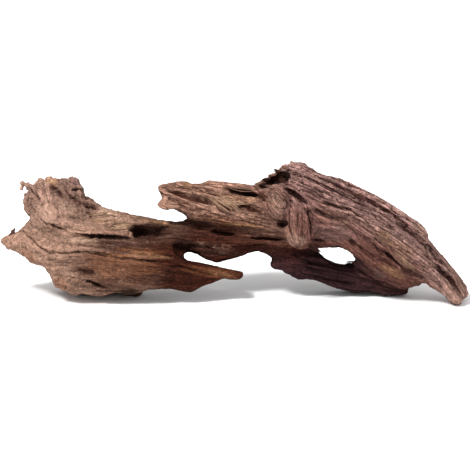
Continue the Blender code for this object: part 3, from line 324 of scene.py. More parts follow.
# Stained and bleached places of the front, with painted shade and painted light: the "black" rows, and the
# "umber" rows at the recess under the upper wall, the pocket by the knot and the crown's hollow, are painted
# shade in slits, cracks, notches and hollows, and the "mauve" row under the crown is painted light on a side
# that faces down. Each as (x, z, half length, half width, slope in degrees down to the right, tint, share of
# the tint).
PATCHES = [
    (118.7, 63.6, 4.7, 6.7, 0, "umber", 0.9), (129, 63.3, 11.2, 6.2, 2, "umber", 0.9),
    (123, 62.8, 6.9, 3.9, 2, "black", 0.25), (182.3, 49, 22.4, 6, 8, "bark", 0.2),
    (183.2, 28.4, 22.4, 4.3, 10, "rust", 0.25), (190.9, 26.7, 12, 2.6, 12, "honey", 0.2),
    (139.3, 62.4, 7.7, 4.3, 3, "black", 0.55), (146.2, 64.5, 10.3, 5.2, 3, "umber", 0.5),
    (238.2, 108.4, 5.2, 2.9, -28, "black", 0.5), (230.5, 108.4, 11.2, 4.3, -28, "umber", 0.6),
    (227, 110.9, 5.2, 2.1, -28, "rust", 0.35), (211.6, 97, 14.6, 2.6, 12, "umber", 0.9),
    (203, 99.1, 12.9, 1.9, 12, "umber", 0.6), (242.9, 70.2, 3.6, 2.2, -14, "umber", 0.9),
    (160, 51.6, 11.2, 5.2, 20, "black", 0.7), (191.8, 63, 11.2, 1.5, 6, "black", 0.6),
    (230.5, 57.8, 14.6, 1.1, 3, "black", 0.55), (176.3, 66.2, 38.7, 6.9, 2, "umber", 0.35),
    (88.6, 59.8, 14.6, 1.6, 4, "black", 0.9), (83.4, 18.5, 7.7, 1.9, 22, "black", 0.8),
    (74, 28.8, 11.2, 2.9, 6, "umber", 0.5), (50.7, 67.5, 6.9, 2.2, 16, "umber", 0.6),
    (45.6, 101.5, 3.4, 2.6, 35, "umber", 0.85), (32.7, 95.5, 1.7, 7.7, -8, "umber", 0.5),
    (39.6, 99.8, 2.6, 3.4, 20, "umber", 0.4), (58.5, 101.5, 3.4, 1.7, 40, "umber", 0.45),
    (70.5, 89.4, 5.2, 1.7, 30, "umber", 0.5), (49, 86, 5.2, 1.4, 40, "umber", 0.4),
    (37.8, 86.9, 1.7, 4.3, 0, "umber", 0.3), (51.6, 96.8, 2.9, 2.6, 40, "umber", 0.9),
    (67.1, 100.2, 4.6, 1, 0, "black", 0.9), (62.8, 92, 5.2, 3.1, 50, "umber", 0.5),
    (77.4, 86, 8.6, 2.2, 20, "umber", 0.65), (77, 79.1, 4.3, 2.2, 50, "umber", 0.6),
    (25.8, 90.3, 3.9, 3.4, 0, "umber", 0.35), (111.8, 10.3, 12, 3.9, 8, "black", 0.85),
    (9.5, 63.6, 4.3, 3.9, -45, "umber", 0.85), (96.3, 76.5, 14.6, 5.2, 14, "pale", 0.3),
    (92.9, 73.1, 12.9, 3.4, 10, "honey", 0.25), (89.4, 79.1, 8.6, 3.1, 10, "pale", 0.6),
    (44.7, 107.5, 6, 3.1, 0, "honey", 0.4), (56.8, 85.1, 7.7, 5.2, 20, "pale", 0.35),
    (39.6, 80, 6, 7.7, 0, "pale", 0.3), (68.8, 56.3, 12.9, 2.1, 2, "pale", 0.45),
    (65.4, 107.5, 5.2, 3.9, 0, "mauve", 0.35), (51.6, 18.9, 7.7, 5.2, 30, "rust", 0.3),
    (104.9, 49.9, 25.8, 6, 4, "umber", 0.6), (104.9, 32.7, 31, 11.2, 6, "rust", 0.5),
    (120.4, 29.2, 29.2, 8.6, 4, "umber", 0.4), (239.9, 92, 9.5, 7.7, 0, "umber", 0.6),
    (153.1, 103.2, 13.8, 3.4, 4, "bark", 0.45), (287.2, 61.9, 17.2, 6.9, 8, "mauve", 0.3),
    (55.9, 93.7, 15.5, 13.8, 0, "bark", 0.25), (82.6, 18.9, 24.1, 6, 10, "umber", 0.4),
    (79.1, 37.8, 25.8, 6.9, 10, "umber", 0.3), (107.5, 19.8, 22.4, 5.2, 0, "umber", 0.35),
    (24.1, 43, 7.7, 4.3, 35, "rust", 0.25), (120.4, 47.3, 22.4, 2.8, 5, "rust", 0.4),
    (129, 43, 15.5, 1.7, 5, "honey", 0.3), (137.6, 71.4, 12.9, 1.5, 8, "honey", 0.5),
    (172, 90.3, 12, 2.9, 18, "umber", 0.45), (160.8, 104.1, 4.3, 1.9, 10, "honey", 0.5),
    (193.5, 86.9, 7.7, 5.2, 45, "honey", 0.6), (190.1, 82.6, 3.1, 2.1, 45, "black", 0.6),
    (212.4, 84.3, 12.9, 2.8, 16, "umber", 0.5), (202.1, 92, 18.9, 2.1, 6, "honey", 0.35),
    (196.1, 73.1, 25.8, 4, 8, "rust", 0.3), (211.6, 69.4, 13.8, 1, 4, "honey", 0.4),
    (225.3, 93.7, 4, 4.6, 50, "umber", 0.7), (240.8, 113.5, 3.9, 2.9, -30, "honey", 0.45),
    (238.2, 86.9, 6.9, 10.3, 0, "pale", 0.22), (252, 58.5, 5.2, 6, 0, "pale", 0.25),
    (258, 55.9, 5.2, 3.4, 0, "pale", 0.3), (268.3, 116.1, 10.3, 1.7, 30, "black", 0.5),
    (305.3, 96.3, 13.8, 1.6, 26, "black", 0.6), (335.4, 80.8, 10.3, 1.5, 30, "black", 0.5),
    (283.8, 110.1, 15.5, 2.1, 24, "ash", 0.4), (254.6, 92.9, 6.9, 1, 32, "black", 0.35),
    (281.2, 79.5, 14.6, 3.3, 22, "umber", 0.6), (295, 73.1, 10.3, 3.3, 40, "umber", 0.45),
    (301, 79.1, 11.2, 4.3, 25, "pale", 0.22), (272.6, 56.2, 6, 1.3, 8, "black", 0.8),
    (302.7, 54.2, 3.9, 2.2, 40, "black", 0.7), (331.1, 60.2, 7.7, 4.3, 50, "honey", 0.35),
    (347.4, 49, 11.2, 5.2, 40, "honey", 0.22), (333.7, 37.8, 10.3, 3.8, 28, "umber", 0.45),
    (337.1, 29.2, 11.2, 3.1, 24, "honey", 0.35), (354.3, 28.4, 6.9, 3.4, 20, "umber", 0.6),
    (345.7, 69.7, 7.7, 1.4, 42, "black", 0.45), (364.6, 64.5, 12, 2.8, 42, "pale", 0.25),
    (388.7, 14.6, 2.6, 8.6, -35, "pale", 0.15), (322.5, 28.4, 10.3, 3.4, 15, "ash", 0.25),
]
# Places scattered with pale crumbs, in the same form without a tint.
CRUMBS = [
    (172, 52.5, 5.2, 2.6, 10, 0.4), (189.2, 48.2, 6.9, 3.4, 12, 0.4), (292.4, 72.2, 9.5, 4.3, 60, 0.55),
    (282.9, 84.3, 6.9, 2.1, 22, 0.5), (103.2, 24.1, 13.8, 4.3, 0, 0.35), (92.9, 51.6, 10.3, 2.6, 0, 0.35),
    (129, 55, 6.9, 1.7, 0, 0.4),
]
TINTS = {
    "straw": (0.21, 0.128, 0.084),
    "bark": (0.12, 0.066, 0.048),
    "pale": (0.34, 0.22, 0.16),
    "honey": (0.27, 0.15, 0.075),
    "rust": (0.18, 0.07, 0.03),
    "umber": (0.035, 0.014, 0.01),
    "black": (0.01, 0.0045, 0.004),
    "mauve": (0.2, 0.12, 0.11),
    "ash": (0.1, 0.072, 0.064),
}
# Ridge depth, thread depth, broad swell and lumps in millimetres, then how pitted and how finely
# ridged the wood is, from 0 to 1.
RELIEF = {
    "flare": (0.35, 0.25, 0.45, 2.0, 0.9, 0.25),
    "burl": (0.25, 0.2, 0.6, 4.0, 1.0, 0.1),
    "limb": (0.5, 0.35, 0.3, 0.6, 0.4, 0.55),
    "stem": (0.7, 0.4, 0.4, 0.8, 0.3, 0.6),
    "prong": (1.1, 0.5, 0.6, 0.8, 0.3, 0.75),
    "knot": (0.5, 0.4, 0.3, 0.8, 0.2, 0.6),
    "crown": (2.0, 0.6, 0.8, 0.4, 0.12, 1.0),
    "hem": (0.6, 0.35, 0.4, 1.4, 0.5, 0.35),
    "fingers": (0.8, 0.35, 0.4, 0.8, 0.4, 0.5),
    "back_limb": (0.6, 0.3, 0.4, 0.8, 0.2, 0.4),
}
# The colour of the ridges, and the darker colour the grooves and cracks of each part go to: partly the
# wood's own darker colour there and partly painted shade.
WOOD = {
    "flare": ((0.185, 0.108, 0.077), (0.045, 0.018, 0.012)),
    "burl": ((0.148, 0.088, 0.067), (0.034, 0.014, 0.0105)),
    "limb": ((0.04, 0.0115, 0.0066), (0.013, 0.0035, 0.0022)),
    "stem": ((0.032, 0.0076, 0.0042), (0.012, 0.003, 0.0018)),
    "prong": ((0.2, 0.11, 0.078), (0.058, 0.02, 0.0135)),
    "knot": ((0.093, 0.0425, 0.035), (0.028, 0.0095, 0.0075)),
    "crown": ((0.27, 0.156, 0.134), (0.06, 0.024, 0.02)),
    "hem": ((0.102, 0.043, 0.033), (0.027, 0.0088, 0.007)),
    "fingers": ((0.235, 0.137, 0.11), (0.065, 0.027, 0.022)),
    "back_limb": ((0.027, 0.0115, 0.0125), (0.01, 0.004, 0.004)),
}
# How far a part reaches round its fibre lines and its faint share beyond, and the grain's lattice.
REGION_REACH = 9.0
FAINT = 1e-9
GRAIN_SOFTNESS = 6.0
GRAIN_CELL = 4.0
# Noise drawn out along the fibres: cell size, how far along them it runs each way, and seed.
FIBRES = {"ridges": (3.2, 60.0, 11), "threads": (1.6, 20.0, 12), "swell": (8.0, 70.0, 13)}
# Samples along a block of that noise and to one cell of it, and cells along a block of plain noise.
BLOCK_SIZE = 96
FINENESS = 4
LATTICE = 64
# Grooves lie where the noise is near its middle: from 0 there to this share of its spread.
RIDGE_GROOVES = 0.55
THREAD_GROOVES = 0.8
# How far strokes stray to the side, over what length, and the seeds.
WANDER = 1.6
WANDER_CELL = 5.0
WANDER_SEEDS = (21, 22)
# A stroke's reach for its width, the share of its length that tapers, how full its ends are, and how
# much a surface has to face the viewer to take it in full.
STROKE_REACH = 0.6
TAPER_SHARE = 0.3
BLUNT_END = 0.15
STROKE_FACING = 0.35
# How cracks and ribs fall off to their edges, and how much of a crack is cut here: the solid has the rest.
CRACK_SHARPNESS = 1.0
RIB_SHARPNESS = 0.7
CRACK_SHARE = 0.4
# Where a stain starts and ends to fade, for its size, and how fibres fray its edge.
STAIN_EDGE = (0.75, 1.25)
STAIN_FRAY = 0.14
FRAY_LIMIT = 1.5
STAIN_FACING = 0.2
# Crumbs: cell size, seed, the noise from which there are some and all, height and paleness.
CRUMB_CELL = 1.1
CRUMB_SEED = 31
CRUMB_NOISE = (0.62, 0.74)
CRUMB_HEIGHT = 0.3
CRUMB_PALENESS = 0.7
# Lumps: cell size of the large and of the small ones, the first seed, and their level.
LUMP_CELLS = (6.0, 2.4)
LUMP_SEED = 41
LUMP_LEVEL = 0.16
# How dark a millimetre's depth makes the grooves between ridges, between threads and in cracks: partly their
# own darker wood and partly painted shade.
DARKNESS = (0.5, 0.6, 0.32)
# The ridge noise from which a crest starts and is full, what a rib adds to it, and how light it is.
CREST_NOISE = (0.8, 1.6)
CREST_OF_RIB = 0.5
CREST_LIGHT = 0.25
STREAK_SHADE = 0.12
STREAK_LIMIT = 2.0
# Hollows get painted shade and swellings a painted highlight: smoothing rounds that find them, painted shade
# per millimetre and its range.
SUNK_ROUNDS = 12
SUNK_PAINTED_SHADE = 0.8
SUNK_PAINTED_SHADE_RANGE = (0.5, 1.22)


def weld(node, name):
    """A copy of a CAD node's mesh with its loose triangles joined into one skin."""
    mesh = node.data.copy()
    mesh.name = name
    mesh.materials.clear()
    obj = placed(name, mesh)
    joined = obj.modifiers.new("join", "WELD")
    joined.merge_threshold = WELD_GAP * MM
    return obj


def apply_modifiers(obj):
    """The object's mesh becomes what its modifiers make of it."""
    graph = bpy.context.evaluated_depsgraph_get()
    obj.data = bpy.data.meshes.new_from_object(obj.evaluated_get(graph))
    obj.modifiers.clear()


def read(elements, field, width, kind=float):
    """A field of all elements of a mesh, one row of numbers for each."""
    values = np.empty(len(elements) * width, kind)
    elements.foreach_get(field, values)
    return values.reshape(-1, width)


def write_points(mesh, points):
    """Moves the mesh's vertices to the points."""
    mesh.vertices.foreach_set("co", points.ravel())
    mesh.update()


def unit(vectors):
    """The vectors made 1 long."""
    return vectors / np.maximum(np.linalg.norm(vectors, axis=-1, keepdims=True), TINY)


def ramp(values, low, high):
    """0 up to the low value, 1 from the high one, and a straight rise between."""
    return np.clip((values - low) / (high - low), 0, 1)


def relaxed(values, edges, rounds):
    """Each row moved half way to the mean of its neighbours, that many times."""
    start, stop = edges.T
    size = len(values)
    count = np.bincount(edges.ravel(), minlength=size)[:, None]
    for _ in range(rounds):
        sums = [np.bincount(start, c[stop], size) + np.bincount(stop, c[start], size) for c in values.T]
        values = (values + np.stack(sums, axis=1) / count) / 2
    return values


def blurred(block, rounds):
    """Each cell with its two neighbours added along each axis in turn, that many times."""
    for axis in (0, 1, 2) * rounds:
        block = block + np.roll(block, 1, axis) + np.roll(block, -1, axis)
    return block


def lattice_noise(points, seed):
    """Smooth random values from 0 to 1: random numbers at unit lattice corners, blended between."""
    table = np.random.default_rng(seed).random((LATTICE,) * 3)
    cell = np.floor(points).astype(int)
    part = points - cell
    part = part * part * (3 - 2 * part)
    sides = [(cell % LATTICE).T, ((cell + 1) % LATTICE).T]
    weights = [(1 - part).T, part.T]
    total = 0.0
    for a, b, c in np.ndindex(2, 2, 2):
        weight = weights[a][0] * weights[b][1] * weights[c][2]
        total = total + weight * table[sides[a][0], sides[b][1], sides[c][2]]
    return total


def line_distance(points, line):
    """The distance from each point to a broken line, and the direction of its nearest stretch."""
    line = np.reshape(line, (-1, points.shape[1])).astype(float)
    step = line[1:] - line[:-1]
    length = np.linalg.norm(step, axis=1)
    best = np.full(len(points), np.inf)
    ahead = np.zeros((len(points), line.shape[1]))
    for start, run, span in zip(line[:-1], step, length):
        offset = points - start
        along = np.clip(offset @ run / span**2, 0, 1)
        gap = np.linalg.norm(offset - along[:, None] * run, axis=1)
        nearer = gap < best
        best[nearer] = gap[nearer]
        ahead[nearer] = run / span
    return best, ahead


def grain_table(low, high):
    """The fibre direction on a coarse lattice: that of each fibre line, by 1 / (distance² + softness²)²."""
    size = np.ceil((high - low) / GRAIN_CELL).astype(int) + 2
    lattice = np.stack(np.meshgrid(*[np.arange(n) for n in size], indexing="ij"), -1).reshape(-1, 3)
    places = low + lattice * GRAIN_CELL
    total = np.zeros((len(places), 3))
    for lines in GRAIN.values():
        for line in lines:
            distance, ahead = line_distance(places, line)
            total += ahead / (distance[:, None] ** 2 + GRAIN_SOFTNESS**2) ** 2
    return unit(total).reshape(*size, 3)


def laid_on_surface(table, low, points, normals):
    """The fibre directions with their part square to the surface taken out, so that they run along it."""
    cells = np.round((points - low) / GRAIN_CELL).astype(int)
    square = np.zeros(table.shape)
    np.add.at(square, tuple(cells.T), normals)
    square = unit(blurred(square, 2))
    return unit(blurred(table - (table * square).sum(-1, keepdims=True) * square, 2))


def twice_as_fine(block):
    """The block with a sample put half way between each two of its own, at their mean."""
    for axis in range(3):
        block = np.repeat(block, 2, axis)
        block = (block + np.roll(block, -1, axis)) / 2
    return block


def looked_up(block, places, past_edge):
    """The block at the sample nearest each place. Past its edge it is held ("clip") or repeats ("wrap")."""
    nearest = np.rint(places).astype(np.int64)
    rows = np.ravel_multi_index(nearest.T, block.shape[:3], mode=past_edge)
    return block.reshape(-1, *block.shape[3:])[rows]


def grain_direction(points):
    """The fibre direction at the points, from the grain's nearest sample."""
    return looked_up(grain, (points - low_corner) / (GRAIN_CELL / 2), "clip")


def noise_block(seed):
    """A block of random numbers smoothed with their neighbours, FINENESS samples to the noise's cell."""
    block = blurred(np.random.default_rng(seed).standard_normal((BLOCK_SIZE,) * 3), 3)
    return (block / block.std()).astype(np.float32)


def fibre_noise(points, name):
    """Noise drawn out along the fibres: the mean of a noise block at points walked both ways along them."""
    cell, reach, seed = FIBRES[name]
    block = noise_block(seed)
    total = looked_up(block, points * (FINENESS / cell), "wrap")
    for sense in (-1, 1):
        walk = points.astype(np.float32)
        for _ in range(round(2 * reach / cell)):
            walk += (sense * cell / 2) * grain_direction(walk)
            total += looked_up(block, walk * (FINENESS / cell), "wrap")
    total -= total.mean()
    return total / total.std()


def region_weights(points):
    """How far each point belongs to each part of the wood, the shares adding up to 1: for each part a
    bell curve of the distance from its fibre lines, exp(-(distance / reach)² / 2), and a faint tail."""
    weights = {}
    for name, lines in GRAIN.items():
        nearest = np.min([line_distance(points, line)[0] for line in lines], axis=0)
        weights[name] = np.exp(-((nearest / REGION_REACH) ** 2) / 2) + FAINT / (1 + nearest**2)
    total = sum(weights.values())
    return {name: weight / total for name, weight in weights.items()}


def blended(values):
    """The values given for the parts of the wood, mixed at each point by how far it belongs to each."""
    return sum(belongs[name][:, None] * np.array(values[name]) for name in values)


def drawn_along(table, sharpness):
    """Height of the highest stroke at each point: full on its line, falling off by the given power to
    its edge and tapering to both ends. Strokes of the back limb stay on it, and the others off it."""
    height = np.zeros(len(seen))
    for name, strokes in table.items():
        kept = behind if name == "back_limb" else ~behind
        for width, most, *line in strokes:
            line = np.reshape(line, (-1, 2))
            low, high = line.min(0) - width, line.max(0) + width
            near = np.flatnonzero(((wandered > low) & (wandered < high)).all(1) & (facing > 0) & kept)
            places = wandered[near]
            span = np.linalg.norm(line[1:] - line[:-1], axis=1).sum()
            gap, _ = line_distance(places, line)
            ends = np.min([np.linalg.norm(places - line[end], axis=1) for end in (0, -1)], axis=0)
            taper = np.clip(ends / (TAPER_SHARE * span) + BLUNT_END, 0, 1)
            profile = np.clip(1 - gap / (STROKE_REACH * width * taper), 0, 1) ** sharpness
            stroke = most * taper * profile * np.clip(facing[near] / STROKE_FACING, 0, 1)
            height[near] = np.maximum(height[near], stroke)
    return height


def patch_share(x, z, half_length, half_width, slope):
    """How far each point lies in a sloping ellipse, with an edge frayed along the fibres."""
    turn = math.radians(slope)
    offset = seen - (x, z)
    along = offset[:, 0] * math.cos(turn) - offset[:, 1] * math.sin(turn)
    across = offset[:, 0] * math.sin(turn) + offset[:, 1] * math.cos(turn)
    frayed = STAIN_FRAY * np.clip(threads, -FRAY_LIMIT, FRAY_LIMIT)
    radius = np.hypot(along / half_length, across / half_width) + frayed
    return (1 - ramp(radius, *STAIN_EDGE)) * np.clip(facing / STAIN_FACING, 0, 1)


def streaked(noise):
    """A little lighter where the noise is high and darker where it is low."""
    return STREAK_SHADE * np.clip(noise, -STREAK_LIMIT, STREAK_LIMIT)


def paint(mesh, tint, fibre, pitting, ridged):
    """What the material reads at each vertex: colour, direction of the fibres, pitting and ridges."""
    tint = np.column_stack([tint, np.ones(len(tint))])
    for name, kind, field, values in (
        ("tint", "FLOAT_COLOR", "color", tint),
        ("fibre", "FLOAT_VECTOR", "vector", fibre),
        ("pitting", "FLOAT", "value", pitting),
        ("ridged", "FLOAT", "value", ridged),
    ):
        attribute = mesh.attributes.new(name, kind, "POINT")
        attribute.data.foreach_set(field, np.ascontiguousarray(values, np.float32).ravel())


# The skin of the solid, with its facets relaxed away.
wood = weld(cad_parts["driftwood"], "weathered_wood")
fuse = wood.modifiers.new("fuse", "REMESH")
fuse.mode = "VOXEL"
fuse.voxel_size = FINE_VOXEL * MM
apply_modifiers(wood)
edges = read(wood.data.edges, "vertices", 2, np.int32)
raw = read(wood.data.vertices, "co", 3)
smooth = relaxed(raw, edges, RELAX_ROUNDS)
moved = smooth + relaxed(raw - smooth, edges, RELAX_ROUNDS) - raw
far = np.linalg.norm(moved, axis=1, keepdims=True)
write_points(wood.data, raw + moved * np.minimum(1, FACET_MOVE * MM / np.maximum(far, TINY)))
skin = read(wood.data.vertices, "co", 3)
normals = read(wood.data.vertices, "normal", 3)
points = to_drawing(skin)
facing = normals @ toward_viewer

# Its fibres, its parts, and what the viewer sees of it in the drawing's plane.
low_corner, high_corner = points.min(0) - 2 * GRAIN_CELL, points.max(0) + 2 * GRAIN_CELL
grain = laid_on_surface(grain_table(low_corner, high_corner), low_corner, points, normals @ LEANED)
grain = twice_as_fine(grain).astype(np.float32)
belongs = region_weights(points)
behind = belongs["back_limb"] > 0.5
ridge_depth, thread_depth, swell, lump, pitting, ridged = blended(RELIEF).T
ridges, threads, broad = (fibre_noise(points, name) for name in FIBRES)
spread = 1 + points[:, 1] / VIEW_DISTANCE
seen = VIEW_CENTRE[[0, 2]] + (points[:, [0, 2]] - VIEW_CENTRE[[0, 2]]) / spread[:, None]
wander = [lattice_noise(points / WANDER_CELL, seed) - 0.5 for seed in WANDER_SEEDS]
wandered = seen + WANDER * np.column_stack(wander)

# Its relief, along the normals.
cracks = drawn_along(CRACKS, CRACK_SHARPNESS)
ribs = drawn_along(RIBS, RIB_SHARPNESS)
grooves = 1 - ramp(np.abs(ridges), 0, RIDGE_GROOVES)
fine_grooves = 1 - ramp(np.abs(threads), 0, THREAD_GROOVES)
crumbs = np.max([share * patch_share(*place) for *place, share in CRUMBS], axis=0)
crumbs *= ramp(lattice_noise(points / CRUMB_CELL, CRUMB_SEED), *CRUMB_NOISE)
lump_noises = [lattice_noise(points / cell, seed) for seed, cell in enumerate(LUMP_CELLS, LUMP_SEED)]
rise = (
    swell * broad
    + lump * sum(np.abs(noise - 0.5) - LUMP_LEVEL for noise in lump_noises)
    - ridge_depth * grooves
    - thread_depth * fine_grooves
    - CRACK_SHARE * cracks
    + ribs
    + CRUMB_HEIGHT * crumbs
)
shaped = skin + normals * (rise * MM)[:, None]
shaped[:, 2] = np.maximum(shaped[:, 2], 0.0)
write_points(wood.data, shaped)

# Its colour: crests lighter; grooves and cracks darker, partly their own colour and partly painted shade;
# stains, painted shade in slits and hollows, painted shade in hollows and a painted highlight on swellings,
# then crumbs on top.
sunk = ((relaxed(shaped, edges, SUNK_ROUNDS) - shaped) * normals).sum(1) / MM
depths = (grooves * ridge_depth, fine_grooves * thread_depth, cracks)
hollow = np.clip(sum(darkness * depth for darkness, depth in zip(DARKNESS, depths)), 0, 1)[:, None]
crest = ramp(np.abs(ridges), *CREST_NOISE) * np.clip(ridge_depth, 0, 1) + CREST_OF_RIB * ribs
light, dark = (blended({name: pair[k] for name, pair in WOOD.items()}) for k in (0, 1))
tint = light * (1 + streaked(threads) + streaked(broad))[:, None]
# Stains and bleaching, with the painted shade of the dark rows in slits, cracks and hollows and the painted
# light of the "mauve" row under the crown.
for *place, name, share in PATCHES:
    mix = (share * ~behind * patch_share(*place))[:, None]
    tint = tint * (1 - mix) + np.array(TINTS[name]) * mix
# Grooves and cracks darkened by their depth: partly the wood's own darker colour and partly painted shade.
tint = tint * (1 - hollow) + np.minimum(dark, tint) * hollow
tint *= 1 + CREST_LIGHT * np.clip(crest, 0, 1)[:, None]
# Painted shade in hollows and a painted highlight on swellings, by how far each point sinks below its
# smoothed neighbours.
tint *= np.clip(1 - SUNK_PAINTED_SHADE * sunk, *SUNK_PAINTED_SHADE_RANGE)[:, None]
paled = CRUMB_PALENESS * crumbs[:, None]
tint = tint * (1 - paled) + np.array(TINTS["pale"]) * paled

paint(wood.data, tint, grain_direction(points) @ LEANED.T, pitting, ridged)
wood.data.calc_loop_triangles()
thin = wood.modifiers.new("thin", "DECIMATE")
thin.ratio = TRIANGLES / len(wood.data.loop_triangles)
apply_modifiers(wood)
wood.data.shade_smooth()

# Streaks along the fibres: the noise's scale, the step along them in millimetres and the steps taken.
THREAD_STREAKS = (1500.0, 0.32, 9)
RIDGE_STREAKS = (560.0, 0.85, 13)
# Scale and detail of the other noise, and the scale of the cells that pits are in the middle of.
GRIT = (800.0, 2.0)
DUST = (260.0, 3.0)
PIT_PLACES = (110.0, 1.0)
PIT_SCALE = 420.0
# The lowest and the highest value that counts of each noise.
THREAD_VALUES = (0.38, 0.62)
RIDGE_VALUES = (0.004, 0.045)
GRIT_VALUES = (0.34, 0.66)
DUST_VALUES = (0.3, 0.7)
PLACE_VALUES = (0.46, 0.6)
PIT_VALUES = (0.16, 0.34)
# What each then makes of the colour, and the grit's strength where the wood isn't and is pitted.
THREAD_SHADE = (0.6, 1.35)
RIDGE_SHADE = (0.34, 1.1)
DUST_SHADE = (0.8, 1.2)
PIT_SHADE = (1.0, 0.5)
GRIT_SHADE = (0.08, 0.2)
GRIT_RELIEF = (0.08, 0.35)
THREAD_ROUGHNESS = (0.95, 0.75)
# Shares of the bump, its strength and its height in millimetres.
RIDGE_RELIEF = 1.6
THREAD_RELIEF = 0.7
BUMP_STRENGTH = 0.8
BUMP_HEIGHT = 0.45
SHEEN_OF_DRY_WOOD = 0.03


class Nodes:
    """A material's nodes, with short calls to add and join them."""

    def __init__(self, name):
        self.material = bpy.data.materials.new(name)
        self.material.use_nodes = True
        self.tree = self.material.node_tree
        self.shader = self.tree.nodes["Principled BSDF"]

    def add(self, kind, inputs=(), **settings):
        """A node with its settings, and each input joined to a socket or given a value."""
        node = self.tree.nodes.new(kind)
        for key, value in settings.items():
            setattr(node, key, value)
        for key, value in dict(inputs).items():
            if isinstance(value, bpy.types.NodeSocket):
                self.tree.links.new(value, node.inputs[key])
            else:
                node.inputs[key].default_value = value
        return node

    def attribute(self, name, output="Fac"):
        return self.add("ShaderNodeAttribute", attribute_name=name).outputs[output]

    def math(self, operation, first, second=0.0):
        return self.add("ShaderNodeMath", {0: first, 1: second}, operation=operation).outputs[0]

    def times(self, first, second):
        return self.math("MULTIPLY", first, second)

    def noise(self, place, scale, detail):
        inputs = {"Vector": place, "Scale": scale, "Detail": detail}
        return self.add("ShaderNodeTexNoise", inputs).outputs["Fac"]

    def scaled(self, value, from_low, from_high, to_low=0.0, to_high=1.0):
        """The value carried from one range to another, and held at the ends of the new one."""
        ranges = {"From Min": from_low, "From Max": from_high, "To Min": to_low, "To Max": to_high}
        return self.add("ShaderNodeMapRange", {"Value": value, **ranges}).outputs["Result"]

    def between(self, share, low, high):
        """The low value where the share is 0, the high one where it is 1."""
        return self.scaled(share, 0.0, 1.0, low, high)

    def to_shader(self, value, socket):
        self.tree.links.new(value, self.shader.inputs[socket])


def along_fibres(n, place, fibre, scale, step, count):
    """The mean of noise at that many places along the fibre, so it is drawn out into streaks."""
    total = None
    for k in range(count):
        ahead = (k - (count - 1) / 2) * step * MM
        shift = n.add("ShaderNodeVectorMath", {0: fibre, "Scale": ahead}, operation="SCALE").outputs[0]
        at = n.add("ShaderNodeVectorMath", {0: place, 1: shift}, operation="ADD").outputs[0]
        noise = n.noise(at, scale, 1.0)
        total = noise if total is None else n.math("ADD", total, noise)
    return n.math("DIVIDE", total, float(count))


def weathered_wood_material():
    """Vertex tint, times streaks along the fibres, grooves between fine ridges, grit, dust and pits."""
    n = Nodes("weathered_wood")
    place = n.add("ShaderNodeTexCoord").outputs["Object"]
    fibre = n.attribute("fibre", "Vector")
    pitting = n.attribute("pitting")
    threads = n.scaled(along_fibres(n, place, fibre, *THREAD_STREAKS), *THREAD_VALUES)
    off_middle = n.math("ABSOLUTE", n.math("SUBTRACT", along_fibres(n, place, fibre, *RIDGE_STREAKS), 0.5))
    plain = n.math("SUBTRACT", 1.0, n.attribute("ridged"))
    ridge = n.math("MAXIMUM", n.scaled(off_middle, *RIDGE_VALUES), plain)
    gritty = n.scaled(n.noise(place, *GRIT), *GRIT_VALUES, -1.0, 1.0)
    dust = n.noise(place, *DUST)
    cells = n.add("ShaderNodeTexVoronoi", {"Vector": place, "Scale": PIT_SCALE}).outputs["Distance"]
    inside = n.scaled(cells, *PIT_VALUES, 1.0, 0.0)
    some = n.times(inside, n.scaled(n.noise(place, *PIT_PLACES), *PLACE_VALUES))
    pits = n.times(some, pitting)

    lines = n.times(n.between(threads, *THREAD_SHADE), n.between(ridge, *RIDGE_SHADE))
    grains = n.math("ADD", 1.0, n.times(gritty, n.between(pitting, *GRIT_SHADE)))
    spotted = n.times(grains, n.between(pits, *PIT_SHADE))
    level = n.times(lines, n.times(spotted, n.scaled(dust, *DUST_VALUES, *DUST_SHADE)))
    tint = n.attribute("tint", "Color")
    colour = n.add("ShaderNodeVectorMath", {0: tint, "Scale": level}, operation="SCALE").outputs[0]
    n.to_shader(colour, "Base Color")
    n.to_shader(n.between(threads, *THREAD_ROUGHNESS), "Roughness")
    n.shader.inputs["Specular IOR Level"].default_value = SHEEN_OF_DRY_WOOD

    relief = n.math("ADD", n.times(ridge, RIDGE_RELIEF), n.times(threads, THREAD_RELIEF))
    rough = n.math("ADD", n.times(gritty, n.between(pitting, *GRIT_RELIEF)), dust)
    height = n.math("SUBTRACT", n.math("ADD", relief, rough), pits)
    settings = {"Height": height, "Strength": BUMP_STRENGTH, "Distance": BUMP_HEIGHT * MM}
    n.to_shader(n.add("ShaderNodeBump", settings).outputs["Normal"], "Normal")
    return n.material


wood_material = weathered_wood_material()
wood.data.materials.append(wood_material)
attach(wood, "root")
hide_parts("driftwood")

